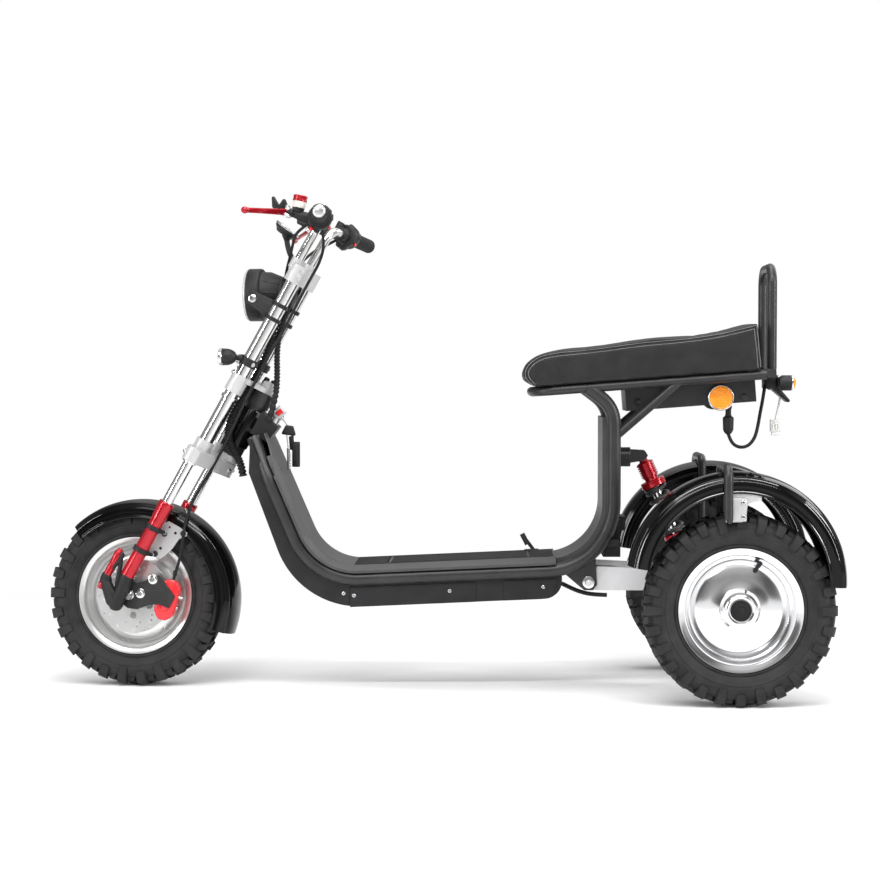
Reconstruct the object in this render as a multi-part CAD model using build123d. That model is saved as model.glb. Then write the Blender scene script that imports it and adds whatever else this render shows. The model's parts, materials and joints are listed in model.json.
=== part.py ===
"""Electric leisure tricycle: two driven rear wheels, one steered front wheel, bench seat.

Frame of the model: millimetres, +X forward, +Y to the rider's left, +Z up, origin on the
floor under the middle of the machine. The front end is stored turned slightly to the right.
"""
from build123d import *
import os
from math import asin, cos, degrees, radians, sin, tan

os.makedirs("parts", exist_ok=True)

# ---------------------------------------------------------------- driving dimensions
# Wheels and stance
REAR_AXLE_X = -682.5
WHEELBASE = 1394.0
TRACK = 550.0              # between the middles of the rear tyres
REAR_TYRE_R = 216.0        # to the tips of the lugs
REAR_TYRE_W = 122.0
REAR_CROWN_R = 120.0       # curvature of the tread across the tyre
FRONT_TYRE_R = 212.0
FRONT_TYRE_W = 104.0
FRONT_CROWN_R = 90.0
RIM_SEAT_R = 127.0         # ten inch rim
RIM_FLANGE_R = 138.5
RIM_FLANGE_T = 4.0
RIM_WALL = 4.0
REAR_RIM_W = 96.0
FRONT_RIM_W = 82.0
DISC_R = 90.0
DISC_T = 4.0
AXLE_R = 8.0
AXLE_FIT = 0.05            # running clearance of each hub on its axle

# Steering
RAKE = 28.9                # steering axis, degrees back from upright
STEER_REST = 8.5           # stored turned this far to the right
HEAD_Z = 704.7             # height of the steering nut
AXLE_FORWARD = 29.0        # front axle ahead of the steering axis
TUBE_FORWARD = 53.0        # fork tubes ahead of the steering axis
UPPER_TUBE_Y = 60.0
UPPER_TUBE_R = 17.0
LEG_Y = 100.0
STANCHION_R = 13.0
SLIDER_R = 16.5
SLIDER_LENGTH = 198.0
SLIDER_ABOVE_AXLE = 41.0
STEM_R = 14.0
STEM_FIT = 0.06            # running clearance of the stem in its head tube
HEAD_TUBE_R = 25.0
HEAD_TUBE_LOW = -177.0     # places along the steering axis are counted from the nut
HEAD_CUP_LOW = -46.0
HEAD_CUP_R = 28.0
HEAD_CUP_TOP = -11.0
CROWN_LOW = -229.0
CROWN_T = 34.0
CROWN_BOSS_TOP = -178.5
YOKE_LOW = -9.5
YOKE_T = 12.0
TOP_CLAMP_LOW = 252.0
TOP_CLAMP_T = 44.0
RISER_FORWARD = 66.0
BAR_R = 11.0
BAR_HEIGHT = 408.0
BAR_END_Y = 292.0
BAR_SWEEP = 46.0           # grips' ends behind the middle of the bar
GRIP_R = 17.0
GRIP_LENGTH = 118.0

# Frame
RAIL_R = 16.0
RAIL_Y = 114.0
NECK_RAIL_Y = 74.0         # the rails close in towards the neck
RAIL_CLOSE_Z = 490.0       # from this height up
RAIL_CLOSE_R = 120.0
DECK_SLOPE = 2.6           # the deck rises to the rear, degrees
DECK_REAR_Z = 290.7        # rail centre where the deck meets the posts
INCLINE_ANGLE = 66.7       # front rails above the floor, degrees
RAIL_TOP_Z = 590.0
RAIL_TOP_AHEAD = 22.0      # rails' upper ends ahead of the steering nut
BEND_R = 158.0
POST_X = -413.5
POST_TOP_Z = 663.0
POST_BEND_R = 75.0
POST_REACH = 60.0          # the posts lean forward under the seat
POST_CROSS_Z = 541.0       # tube between the posts that holds the shock absorber
POST_CROSS_R = 15.0
BOARD_RISE = 31.0          # footboard's face above the rail centres
BOARD_FLAT_Y = 100.0
BOARD_T = 3.0
LID_FRONT_X = 112.0
LID_LENGTH = 330.0
LID_HALF_W = 78.0
LID_GAP = 1.5
LID_FRONT_GAP = 4.0
HINGE_RISE = 26.5          # hinge pin above the rail centres
HINGE_SET = 3.0            # hinge pin behind the lid's front edge
PIN_R = 2.0
PIN_FIT = 0.05
KNUCKLE_R = 4.0
LEDGE_W = 8.0
LEDGE_GAP = 0.1
BELLY_DEPTH = 65.5         # belly below the rail centres
BELLY_Y = 112.0
BELLY_WALL = 3.0

# Seat
SEAT_SLOPE = 4.3           # the seat rails rise to the rear, degrees
SEAT_RAIL_R = 11.0
SEAT_RAIL_FRONT = 128.0    # ahead of the posts
SEAT_RAIL_REAR = 412.0     # behind the posts
SEAT_HALF_W = 135.0
SEAT_GAP = 0.3
BACKREST_Y = 80.0
BACKREST_R = 11.0
BACKREST_TOP_Z = 999.0
BACKREST_X = -781.5

# Rear end
FENDER_R = 245.0
FENDER_HALF_W = 70.0
FENDER_T = 3.0
FENDER_RISE = 63.0         # fender centre above the rear axle
FENDER_FORWARD = 6.0
SWINGARM_Y = 70.0
SWINGARM_H = 54.0
SWINGARM_W = 40.0
PIVOT_X = -356.0
PIVOT_Z = 256.0
HUB_CLEAR = 5.0            # moving parts clear fixed ones by this much


# ---------------------------------------------------------------- building blocks
def vec(*xyz):
    return Vector(*xyz)


def rod(start, end, radius):
    """Round bar between two points."""
    start, end = Vector(*start), Vector(*end)
    axis = end - start
    return extrude(Plane(origin=start, z_dir=axis) * Circle(radius), axis.length)


def pipe(points, bends, radius):
    """Round bar along straight runs joined by bends."""
    path = FilletPolyline(*points, radius=bends)
    return sweep(Plane(origin=path @ 0, z_dir=path % 0) * Circle(radius), path=path)


def block(x, y, z):
    """Box from three (low, high) ranges."""
    size = [high - low for low, high in (x, y, z)]
    middle = [(low + high) / 2 for low, high in (x, y, z)]
    return Pos(*middle) * Box(*size)


def slab(outline, low_y, high_y):
    """Flat plate with an outline in X and Z, between two values of Y."""
    face = make_face(Plane.XZ * Polyline(*outline, close=True))
    return Pos(0, high_y, 0) * extrude(face, high_y - low_y, dir=(0, -1, 0))


def turned(outline, arc=360.0):
    """Ring turned about Y from an outline of (radius, y) points."""
    return revolve(make_face(Polyline(*outline, close=True)), Axis.Y, arc)


def spot(frame, x, y, z):
    """Point given in a local frame, in the machine's frame."""
    return (frame * Pos(x, y, z)).position


def mirrored(shape):
    return mirror(shape, Plane.XZ)


def both_sides(shape):
    return Compound([shape, mirrored(shape)])


def merged(*shapes):
    result = shapes[0]
    for shape in shapes[1:]:
        result = result + shape
    return result


def part(name, *shapes):
    """Write one node: its solids, which don't touch each other."""
    solids = [solid for shape in shapes for solid in shape.solids()]
    whole = Compound(solids) if len(solids) > 1 else solids[0]
    export_step(whole, f"parts/{name}.step")


# ---------------------------------------------------------------- steering frame
SIN_RAKE, COS_RAKE = sin(radians(RAKE)), cos(radians(RAKE))


def steered_low(axle_along):
    """Height of the front tyre's lowest point with the axle this far along the axis."""
    turn = radians(STEER_REST)
    height = HEAD_Z + AXLE_FORWARD * cos(turn) * SIN_RAKE + axle_along * COS_RAKE
    lean = asin(sin(turn) * SIN_RAKE)
    return height - (FRONT_TYRE_R - FRONT_CROWN_R) * cos(lean) - FRONT_CROWN_R


AXLE_ALONG = -steered_low(0.0) / (steered_low(1.0) - steered_low(0.0))
HEAD_X = REAR_AXLE_X + WHEELBASE - AXLE_FORWARD * COS_RAKE + AXLE_ALONG * SIN_RAKE

# Local frame of the fork: +X square to the steering axis, +Z up along it, origin at the nut.
FORK = Pos(HEAD_X, 0, HEAD_Z) * Rot(0, -RAKE, 0) * Rot(0, 0, -STEER_REST)
NECK = Pos(HEAD_X, 0, HEAD_Z) * Rot(0, -RAKE, 0)
UPRIGHT = Rot(0, RAKE, 0)   # turns a piece of the fork level with the floor


def place_fork(*shapes):
    return [FORK * shape for shape in shapes]


# ---------------------------------------------------------------- wheels
def tyre(radius, width, crown, rim_width):
    """Closed ring that fills the rim between its flanges."""
    half = width / 2
    bead = rim_width / 2 - RIM_FLANGE_T
    shoulder_y = half * 0.86
    shoulder_r = radius - crown + (crown ** 2 - shoulder_y ** 2) ** 0.5
    belly_r = (RIM_FLANGE_R + shoulder_r) / 2
    side = ThreePointArc((RIM_FLANGE_R, bead), (belly_r, half), (shoulder_r, shoulder_y))
    tread = ThreePointArc((shoulder_r, shoulder_y), (radius, 0), (shoulder_r, -shoulder_y))
    other = ThreePointArc((shoulder_r, -shoulder_y), (belly_r, -half), (RIM_FLANGE_R, -bead))
    seat = Polyline((RIM_FLANGE_R, -bead), (RIM_SEAT_R, -bead), (RIM_SEAT_R, bead),
                    (RIM_FLANGE_R, bead))
    return revolve(make_face(Curve() + [side, tread, other, seat]), Axis.Y)


def rim(width, dish_y, hub_r, hub_low, hub_high):
    """Rim barrel with flanges, one dished wall and the hub on the axle."""
    half = width / 2
    inner = RIM_SEAT_R - RIM_WALL
    barrel = turned([(inner, -half), (RIM_FLANGE_R, -half), (RIM_FLANGE_R, -half + RIM_FLANGE_T),
                     (RIM_SEAT_R, -half + RIM_FLANGE_T), (RIM_SEAT_R, half - RIM_FLANGE_T),
                     (RIM_FLANGE_R, half - RIM_FLANGE_T), (RIM_FLANGE_R, half), (inner, half)])
    step = inner - 22
    wall = turned([(hub_r - 1, dish_y - RIM_WALL), (step, dish_y - RIM_WALL),
                   (inner + 1, dish_y - 14 - RIM_WALL), (inner + 1, dish_y - 14),
                   (step + 2, dish_y), (hub_r - 1, dish_y)])
    hub = turned([(AXLE_R + AXLE_FIT, hub_low), (hub_r, hub_low), (hub_r, hub_high),
                  (AXLE_R + AXLE_FIT, hub_high)])
    return barrel + wall + hub


def brake_disc(y):
    """Brake disc centred on Y, bolted to the hub's end."""
    return turned([(AXLE_R + 10, y - DISC_T / 2), (DISC_R, y - DISC_T / 2),
                   (DISC_R, y + DISC_T / 2), (AXLE_R + 10, y + DISC_T / 2)])


FRONT_HUB_R = 30.0
FRONT_HUB_HALF = 46.0
FRONT_DISC_Y = 54.0
FRONT_DISH_Y = 14.0
FRONT_WHEEL = FORK * Pos(AXLE_FORWARD, 0, AXLE_ALONG)

front_tyre = FRONT_WHEEL * tyre(FRONT_TYRE_R, FRONT_TYRE_W, FRONT_CROWN_R, FRONT_RIM_W)
front_rim = rim(FRONT_RIM_W, FRONT_DISH_Y, FRONT_HUB_R, -FRONT_HUB_HALF,
                FRONT_DISC_Y - DISC_T / 2) + brake_disc(FRONT_DISC_Y)
part("front_tyre", front_tyre)
part("front_rim", FRONT_WHEEL * front_rim)

REAR_HUB_R = 34.0
REAR_DISH_Y = 24.0
REAR_HUB_IN = -46.0
REAR_HUB_OUT = 34.0
REAR_DISC_Y = REAR_HUB_IN - DISC_T / 2
AXLE_NUT_T = 14.0
rear_tyre = tyre(REAR_TYRE_R, REAR_TYRE_W, REAR_CROWN_R, REAR_RIM_W)
rear_rim = rim(REAR_RIM_W, REAR_DISH_Y, REAR_HUB_R, REAR_HUB_IN, REAR_HUB_OUT)
rear_rim = rear_rim + brake_disc(REAR_DISC_Y)
for side, place in (("left", Pos(REAR_AXLE_X, TRACK / 2, REAR_TYRE_R)),
                    ("right", Pos(REAR_AXLE_X, -TRACK / 2, REAR_TYRE_R) * Rot(0, 0, 180))):
    part(f"rear_tyre_{side}", place * rear_tyre)
    part(f"rear_rim_{side}", place * rear_rim)

# ---------------------------------------------------------------- frame rails
SLOPE = tan(radians(DECK_SLOPE))
STEEP = tan(radians(INCLINE_ANGLE))
RAIL_TOP_X = HEAD_X + RAIL_TOP_AHEAD


def deck_z(x, above=0.0):
    """Height over the deck line, which passes through the rail centres."""
    return DECK_REAR_Z - (x - POST_X) * SLOPE + above / cos(radians(DECK_SLOPE))


KNEE_X = ((RAIL_TOP_X - (RAIL_TOP_Z - DECK_REAR_Z - POST_X * SLOPE) / STEEP)
          / (1 + SLOPE / STEEP))
KNEE_Z = deck_z(KNEE_X)

SEAT = Pos(POST_X + POST_REACH, 0, 0) * Pos(0, 0, POST_TOP_Z + 45.0) * Rot(0, SEAT_SLOPE, 0)
SEAT_ORIGIN_X = POST_X + POST_REACH
SEAT_ORIGIN_Z = POST_TOP_Z + 45.0


def rail_path(side):
    """Corners of one side's rail, from the neck to the seat."""
    close_x = RAIL_TOP_X - (RAIL_TOP_Z - RAIL_CLOSE_Z) / STEEP
    return [(RAIL_TOP_X, side * NECK_RAIL_Y, RAIL_TOP_Z), (close_x, side * RAIL_Y, RAIL_CLOSE_Z),
            (KNEE_X, side * RAIL_Y, KNEE_Z),
            (POST_X, side * RAIL_Y, DECK_REAR_Z), (POST_X, side * RAIL_Y, POST_TOP_Z),
            (SEAT_ORIGIN_X, side * RAIL_Y, SEAT_ORIGIN_Z)]


seat_rails = SEAT * pipe([(-SEAT_RAIL_REAR, RAIL_Y, 0), (SEAT_RAIL_FRONT, RAIL_Y, 0),
                          (SEAT_RAIL_FRONT, -RAIL_Y, 0), (-SEAT_RAIL_REAR, -RAIL_Y, 0)],
                         [60, 60], SEAT_RAIL_R)
rails = []
for sign in (1, -1):
    rail = pipe(rail_path(sign), [RAIL_CLOSE_R, BEND_R, BEND_R, POST_BEND_R], RAIL_R)
    above_seat = SEAT * block((-200, 200), (-200, 200), (0, 80))
    rail = (rail - above_seat - seat_rails).solids().sort_by(SortBy.VOLUME)[-1]
    rails.append(rail)
both_rails = Compound(rails)
part("frame_rails", both_rails)

# ---------------------------------------------------------------- footboard and belly
INCLINE_SIN, INCLINE_COS = sin(radians(INCLINE_ANGLE)), cos(radians(INCLINE_ANGLE))


def lifted(lift):
    """Corners of the rail line moved towards the rider: neck, knee, deck's rear, post top."""
    top_x = RAIL_TOP_X - lift * INCLINE_SIN
    top_z = RAIL_TOP_Z + lift * INCLINE_COS
    knee_x = (deck_z(0, lift) - top_z + top_x * STEEP) / (STEEP + SLOPE)
    rear_x = POST_X + lift
    return ((top_x, top_z), (knee_x, deck_z(knee_x, lift)), (rear_x, deck_z(rear_x, lift)),
            (rear_x, POST_TOP_Z))


def flat_line(corners, bends):
    """Filleted line in X and Z, in the middle plane."""
    return FilletPolyline(*[(x, 0, z) for x, z in corners], radius=bends)


def band(low, high, low_bends, high_bends, half_width):
    """Bent sheet between two lines in X and Z, across the middle of the machine."""
    inner, outer = flat_line(low, low_bends), flat_line(high, high_bends)
    ends = [Line(inner @ 0, outer @ 0), Line(inner @ 1, outer @ 1)]
    face = make_face(Curve() + [inner, outer] + ends)
    return Pos(0, half_width, 0) * extrude(face, 2 * half_width, dir=(0, -1, 0))


def board_bends(lift):
    return [BEND_R - lift, BEND_R - lift]


def side_line(lift, top_z):
    """The bent line from under the neck, along the deck and up the posts."""
    neck, knee, rear, _ = lifted(lift)
    return [neck, knee, rear, (rear[0], top_z)]


BOARD_END_X = -279.0
LIP_RISE = 14.0            # lips' lower edges above the rail centres
LIP_T = 3.0
LIP_Y = RAIL_Y + RAIL_R + 1.0


def lips(path_points, bends, rise):
    """Sloping edges of the footboard, from its flat to the outer side of the rails."""
    path = flat_line(path_points, bends)
    start = Plane(origin=path @ 0, x_dir=(0, 1, 0), z_dir=path % 0)
    flip = 1 if start.y_dir.Z > 0 or start.y_dir.X < 0 else -1
    foot = RAIL_R - 1
    edge = [(BOARD_FLAT_Y - 1, rise), (LIP_Y, LIP_RISE + 6), (LIP_Y, LIP_RISE),
            (LIP_Y - LIP_T, LIP_RISE), (LIP_Y - LIP_T, LIP_RISE + 4),
            (RAIL_Y + 5, LIP_RISE + 6), (RAIL_Y + 5, foot), (RAIL_Y - 5, foot),
            (RAIL_Y - 5, rise - BOARD_T - 3), (BOARD_FLAT_Y - 1, rise - BOARD_T)]
    near = sweep(start * make_face(Polyline(*[(y, flip * n) for y, n in edge], close=True)),
                 path=path)
    far = sweep(start * make_face(Polyline(*[(-y, flip * n) for y, n in edge], close=True)),
                path=path)
    return near, far


rail_line = lifted(0.0)
board_sheet = band(side_line(BOARD_RISE - BOARD_T, POST_TOP_Z), side_line(BOARD_RISE, POST_TOP_Z),
                   board_bends(BOARD_RISE - BOARD_T), board_bends(BOARD_RISE), BOARD_FLAT_Y)
board_lips = lips(list(rail_line), [BEND_R, BEND_R], BOARD_RISE)
board = board_sheet + board_lips[0] + board_lips[1]
close_angle = degrees(asin((RAIL_Y - NECK_RAIL_Y) * INCLINE_SIN
                           / (RAIL_TOP_Z - RAIL_CLOSE_Z)))
trimmer = (Pos(RAIL_TOP_X - (RAIL_TOP_Z - RAIL_CLOSE_Z) / STEEP, RAIL_Y + RAIL_R + 1.5,
               RAIL_CLOSE_Z) * Rot(0, 90 - INCLINE_ANGLE, 0) * Rot(close_angle, 0, 0)
           * block((-120, 120), (0, 200), (0, 300)))
board_end = block((-600, BOARD_END_X), (-200, 200), (100, 800))
board = board - trimmer - mirrored(trimmer) - both_rails - board_end
LID_REAR_X = LID_FRONT_X - LID_LENGTH
lid_hole = block((LID_REAR_X - LID_GAP, LID_FRONT_X + LID_FRONT_GAP),
                 (-LID_HALF_W - LID_GAP, LID_HALF_W + LID_GAP), (200, 400))
ledge_inside = block((LID_REAR_X + LEDGE_W, LID_FRONT_X - 3 * LEDGE_W),
                     (LEDGE_W - LID_HALF_W, LID_HALF_W - LEDGE_W), (200, 400))
ledge_outside = block((LID_REAR_X - LEDGE_W, LID_FRONT_X - 2 * LEDGE_W),
                      (-LID_HALF_W - LEDGE_W, LID_HALF_W + LEDGE_W), (200, 400))


def deck_sheet(low, high):
    """Layer of the deck between two heights above the rail centres."""
    return band(side_line(low, POST_TOP_Z), side_line(high, POST_TOP_Z), board_bends(low),
                board_bends(high), BOARD_FLAT_Y)


board_low = BOARD_RISE - BOARD_T
ledge_top = board_low - LEDGE_GAP
ledge = (deck_sheet(ledge_top - BOARD_T, ledge_top) & ledge_outside) - ledge_inside
ledge = ledge + ((deck_sheet(ledge_top - BOARD_T, board_low) & ledge_outside) - lid_hole)
HINGE_X = LID_FRONT_X - HINGE_SET
hinge_z = deck_z(HINGE_X, HINGE_RISE)
hinge_pin = rod((HINGE_X, -LID_HALF_W - 6, hinge_z), (HINGE_X, LID_HALF_W + 6, hinge_z), PIN_R)
hinge_ear = slab([(HINGE_X - 3, hinge_z - 3.5), (LID_FRONT_X + LID_FRONT_GAP + 6, hinge_z - 3.5),
                  (LID_FRONT_X + LID_FRONT_GAP + 6, deck_z(LID_FRONT_X, board_low + 1)),
                  (LID_FRONT_X + LID_FRONT_GAP, deck_z(LID_FRONT_X, board_low + 1)),
                  (HINGE_X + 4, hinge_z), (HINGE_X, hinge_z + 3)], 46.0, 52.0)
board = (board - lid_hole).solids().sort_by(SortBy.VOLUME)[-1]
board = merged(board, ledge, hinge_ear, mirrored(hinge_ear), hinge_pin & block(
    (0, 200), (-52, 52), (200, 400)))
part("footboard", board)

# Battery lid, hinged along its front edge
lid_box = block((LID_REAR_X, LID_FRONT_X), (-LID_HALF_W, LID_HALF_W), (200, 400))
knuckle = rod((HINGE_X, -40, hinge_z), (HINGE_X, 40, hinge_z), KNUCKLE_R)
lid = (board_sheet & lid_box) + knuckle
lid = lid - rod((HINGE_X, -60, hinge_z), (HINGE_X, 60, hinge_z), PIN_R + PIN_FIT)
lid = lid - both_sides(block((HINGE_X - 6, HINGE_X + 10), (44, 54), (200, 400)))
part("battery_lid", lid.solids().sort_by(SortBy.VOLUME)[-1])

# Riser cover up the posts
RISER_RISE = 26.0
RISER_TOP_Z = 640.0
RISER_Y = 100.0
SEAM = 1.0                 # gap where two covers meet


riser = band(side_line(RISER_RISE - BOARD_T, RISER_TOP_Z), side_line(RISER_RISE, RISER_TOP_Z),
             board_bends(RISER_RISE - BOARD_T), board_bends(RISER_RISE), RISER_Y)
flange_line = [side_line(lift, RISER_TOP_Z) for lift in (-2.0, RISER_RISE - 1)]
flange_bends = [board_bends(lift) for lift in (-2.0, RISER_RISE - 1)]
flanges = (band(*flange_line, *flange_bends, RISER_Y - 0.5)
           - band(*flange_line, *flange_bends, RISER_Y - BOARD_T - 1.5))
riser = riser + flanges - rod((POST_X, -RAIL_Y, POST_CROSS_Z), (POST_X, RAIL_Y, POST_CROSS_Z),
                              POST_CROSS_R)
before_riser = block((BOARD_END_X - SEAM, 700), (-200, 200), (100, 800))
riser = (riser - before_riser - both_rails).solids().sort_by(SortBy.VOLUME)[-1]
part("riser_cover", riser)

# Belly: curved front skirt, tray under the deck and side panels
SKIRT_TOP = (HEAD_X + 29.0, 510.0)
SKIRT_ANGLE = 69.5
SKIRT_R = 203.0
TRAY_FRONT_X = 199.5
TRAY_REAR_X = -294.0
TRAY_REAR_R = 42.0


def belly_line(inset):
    """Lower outline of the belly, from under the neck to the rear of the deck."""
    skirt = radians(SKIRT_ANGLE)
    top = (SKIRT_TOP[0] - inset * sin(skirt), SKIRT_TOP[1] + inset * cos(skirt))
    depth = BELLY_DEPTH - inset
    knee_x = (deck_z(0, -depth) - top[1] + top[0] * tan(skirt)) / (tan(skirt) + SLOPE)
    rear_x = TRAY_REAR_X + inset
    return [top, (knee_x, deck_z(knee_x, -depth)), (rear_x, deck_z(rear_x, -depth)),
            (rear_x, deck_z(rear_x, -RAIL_R / 2))]


def belly_face(inset, roof):
    """Outline of the belly filled up to a line near the rails."""
    lower = belly_line(inset)
    neck, knee, _, _ = lifted(roof)
    bends = [SKIRT_R - inset, TRAY_REAR_R - inset]
    under = flat_line(lower, bends)
    rear = (lower[-1][0], deck_z(lower[-1][0], roof))
    over = flat_line([neck, knee, rear], BEND_R - roof)
    ends = [Line(under @ 0, over @ 0), Line(under @ 1, over @ 1)]
    return make_face(Curve() + [under, over] + ends)


def belly_body(inset, roof, half_width):
    face = belly_face(inset, roof)
    return Pos(0, half_width, 0) * extrude(face, 2 * half_width, dir=(0, -1, 0))


belly = belly_body(0.0, -4.0, BELLY_Y) - belly_body(BELLY_WALL, 8.0, BELLY_Y - BELLY_WALL)
belly = belly - both_rails
ahead = block((TRAY_FRONT_X + 0.5, 700), (-200, 200), (100, 700))
behind = block((-400, TRAY_FRONT_X - 0.5), (-200, 200), (100, 700))
part("front_skirt", (belly & ahead).solids().sort_by(SortBy.VOLUME)[-1])
tray = (belly & behind).solids().sort_by(SortBy.VOLUME)[-1]

PANEL_T = 2.5
PANEL_TOP = 20.0           # panels' upper edges below the rail centres
PANEL_BREAKS = (199.0, -94.0, -159.5, -281.0)
SCREW_R = 4.0


def side_panel(front_x, rear_x):
    outline = [(front_x, deck_z(front_x, -BELLY_DEPTH)), (front_x, deck_z(front_x, -PANEL_TOP)),
               (rear_x, deck_z(rear_x, -PANEL_TOP)), (rear_x, deck_z(rear_x, -BELLY_DEPTH))]
    return slab(outline, BELLY_Y, BELLY_Y + PANEL_T)


rear_panel = side_panel(PANEL_BREAKS[2], PANEL_BREAKS[3])
rear_corner = rear_panel.edges().filter_by(Axis.Y).sort_by(Axis.X)[:2].sort_by(Axis.Z)[0]
rear_panel = fillet(rear_corner, TRAY_REAR_R - 8)
front_panel = side_panel(PANEL_BREAKS[0], PANEL_BREAKS[1])
for panel in (front_panel, rear_panel):
    tray = tray + panel + mirrored(panel)
part("belly_tray", tray)

PACK = ((-225.0, 125.0), (-82.0, 82.0))
PACK_LOW = BELLY_WALL
pack_outline = [(PACK[0][0], deck_z(PACK[0][0], -BELLY_DEPTH + PACK_LOW)),
                (PACK[0][0], deck_z(PACK[0][0], BOARD_RISE - 12)),
                (PACK[0][1], deck_z(PACK[0][1], BOARD_RISE - 12)),
                (PACK[0][1], deck_z(PACK[0][1], -BELLY_DEPTH + PACK_LOW))]
part("battery_pack", slab(pack_outline, *PACK[1]))

# Foot brake pedal on the right of the deck
PEDAL_X, PEDAL_Y, PEDAL_H = -224.0, -90.0, 40.0
PEDAL_PLATE_T = 3.0
pedal_z = deck_z(PEDAL_X, BOARD_RISE)
pedal_place = Pos(PEDAL_X, PEDAL_Y, pedal_z) * Rot(0, DECK_SLOPE, 0)
pedal = pedal_place * merged(
    block((-20, 14), (-9, 9), (0, PEDAL_PLATE_T)),
    slab([(-14, 0), (-4, 0), (14, 26), (8, 32)], -4, 4),
    Pos(12, 0, 28) * Rot(0, 25, 0) * block((-6, 6), (-9, 9), (-14, 14)))
part("foot_pedal", pedal)

# ---------------------------------------------------------------- neck
head_tube = rod((0, 0, HEAD_TUBE_LOW), (0, 0, HEAD_CUP_LOW), HEAD_TUBE_R)
head_cup = rod((0, 0, HEAD_CUP_LOW), (0, 0, HEAD_CUP_TOP), HEAD_CUP_R)
stem_bore = rod((0, 0, HEAD_TUBE_LOW - 10), (0, 0, HEAD_CUP_TOP + 10), STEM_R + STEM_FIT)
NECK_CROSS_Z = RAIL_TOP_Z - 22.0
neck_cross_x = RAIL_TOP_X - (RAIL_TOP_Z - NECK_CROSS_Z) / STEEP
cross_y = RAIL_Y
cross_low = rod((neck_cross_x, -cross_y, NECK_CROSS_Z), (neck_cross_x, cross_y, NECK_CROSS_Z), 14)
head_parts = NECK * (head_tube + head_cup)
cross_low = cross_low & block((200, 700), (-NECK_RAIL_Y - 6, NECK_RAIL_Y + 6), (0, 900))
neck_frame = (head_parts + cross_low) - NECK * stem_bore - both_rails
part("head_tube", neck_frame.solids().sort_by(SortBy.VOLUME)[-1])

# Ignition box behind the head tube
BOX_BACK, BOX_FRONT = -72.0, -20.0
BOX_HALF_W = 36.0
box_outline = [(BOX_FRONT, -50), (BOX_BACK, -64), (BOX_BACK + 6, -108), (BOX_FRONT, -108)]
ignition_box = NECK * (slab(box_outline, -BOX_HALF_W, BOX_HALF_W)
                       - rod((0, 0, -200), (0, 0, 0), HEAD_TUBE_R))
part("ignition_box", (ignition_box - both_rails - neck_frame - board).solids()
     .sort_by(SortBy.VOLUME)[-1])

# ---------------------------------------------------------------- seat
SEAT_BASE = SEAT_RAIL_R + SEAT_GAP
seat_outline = [(128, SEAT_BASE), (150, 26), (153, 44), (141, 68), (113, 88), (85, 94),
                (-22, 95.5), (-129, 103.5), (-151, 106.5), (-208, 103), (-262, 103.5),
                (-315, 108.5), (-369, 118), (-402, 125), (-405, SEAT_BASE)]
seat = SEAT * slab(seat_outline, -SEAT_HALF_W, SEAT_HALF_W)
part("seat", seat)

STRUT_R = 9.5
STRUT_BACK = 213.0
STRUT_LOW_Z = 592.0
strut_end = spot(SEAT, -STRUT_BACK, RAIL_Y, 0)
strut = rod((POST_X, RAIL_Y, STRUT_LOW_Z), (strut_end.X, RAIL_Y, strut_end.Z), STRUT_R)
struts = (both_sides(strut) - both_rails).solids().sort_by(SortBy.VOLUME)[-2:]

TAIL_T = 22.0
tail_block = SEAT * block((-SEAT_RAIL_REAR - TAIL_T, -SEAT_RAIL_REAR), (-RAIL_Y - SEAT_RAIL_R,
                          RAIL_Y + SEAT_RAIL_R), (-8, 12))
part("seat_frame", merged(seat_rails, tail_block, *struts))

backrest_base = spot(SEAT, 0, 0, 12).Z - (BACKREST_X - SEAT_ORIGIN_X) * tan(radians(SEAT_SLOPE))
loop = pipe([(BACKREST_X, BACKREST_Y, backrest_base), (BACKREST_X, BACKREST_Y, BACKREST_TOP_Z
            - BACKREST_R), (BACKREST_X, -BACKREST_Y, BACKREST_TOP_Z - BACKREST_R),
            (BACKREST_X, -BACKREST_Y, backrest_base)], [40, 40], BACKREST_R)
part("backrest", loop - tail_block)

CONTROLLER = ((-390.0, -87.0), (-75.0, 75.0), (-61.0, -11.0))
controller = SEAT * block(*CONTROLLER)
STRAP_T = 4.0
for strap_x in (-150, -345):
    strap = block((strap_x, strap_x + 24), (-RAIL_Y + 8, RAIL_Y - 8),
                  (CONTROLLER[2][1] - 1, CONTROLLER[2][1] + STRAP_T))
    controller = controller + SEAT * strap
REFLECTOR_R = 29.0
REFLECTOR_X, REFLECTOR_Z = -307, -46
reflector = SEAT * rod((REFLECTOR_X, CONTROLLER[1][1] - 1, REFLECTOR_Z),
                       (REFLECTOR_X, CONTROLLER[1][1] + 13, REFLECTOR_Z), REFLECTOR_R)
part("controller_box", controller + reflector + mirrored(reflector) - seat_rails)

# ---------------------------------------------------------------- rear end
PLATE_T = 6.0
PLATE_Y = SWINGARM_Y + SWINGARM_W / 2 + 5.0
pivot_plate = slab([(-289, 285), (-372, 320), (-376, 250), (-366, 237), (-346, 237), (-336, 245)],
                   PLATE_Y, PLATE_Y + PLATE_T)
PIVOT_BOLT_R = 10.0
pivot_bolt = rod((PIVOT_X, -PLATE_Y - PLATE_T - 5, PIVOT_Z), (PIVOT_X, PLATE_Y + PLATE_T + 5,
                                                               PIVOT_Z), PIVOT_BOLT_R)
pivot_plates = both_sides(pivot_plate) - both_rails - tray - riser
plate_solids = [s for s in pivot_plates.solids() if s.volume > 5000]
part("pivot_brackets", merged(pivot_bolt, *plate_solids))
AXLE_Z = REAR_TYRE_R
HOUSING_R = 25.0
HOUSING_END = TRACK / 2 + REAR_DISC_Y - DISC_T / 2 - HUB_CLEAR
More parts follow.
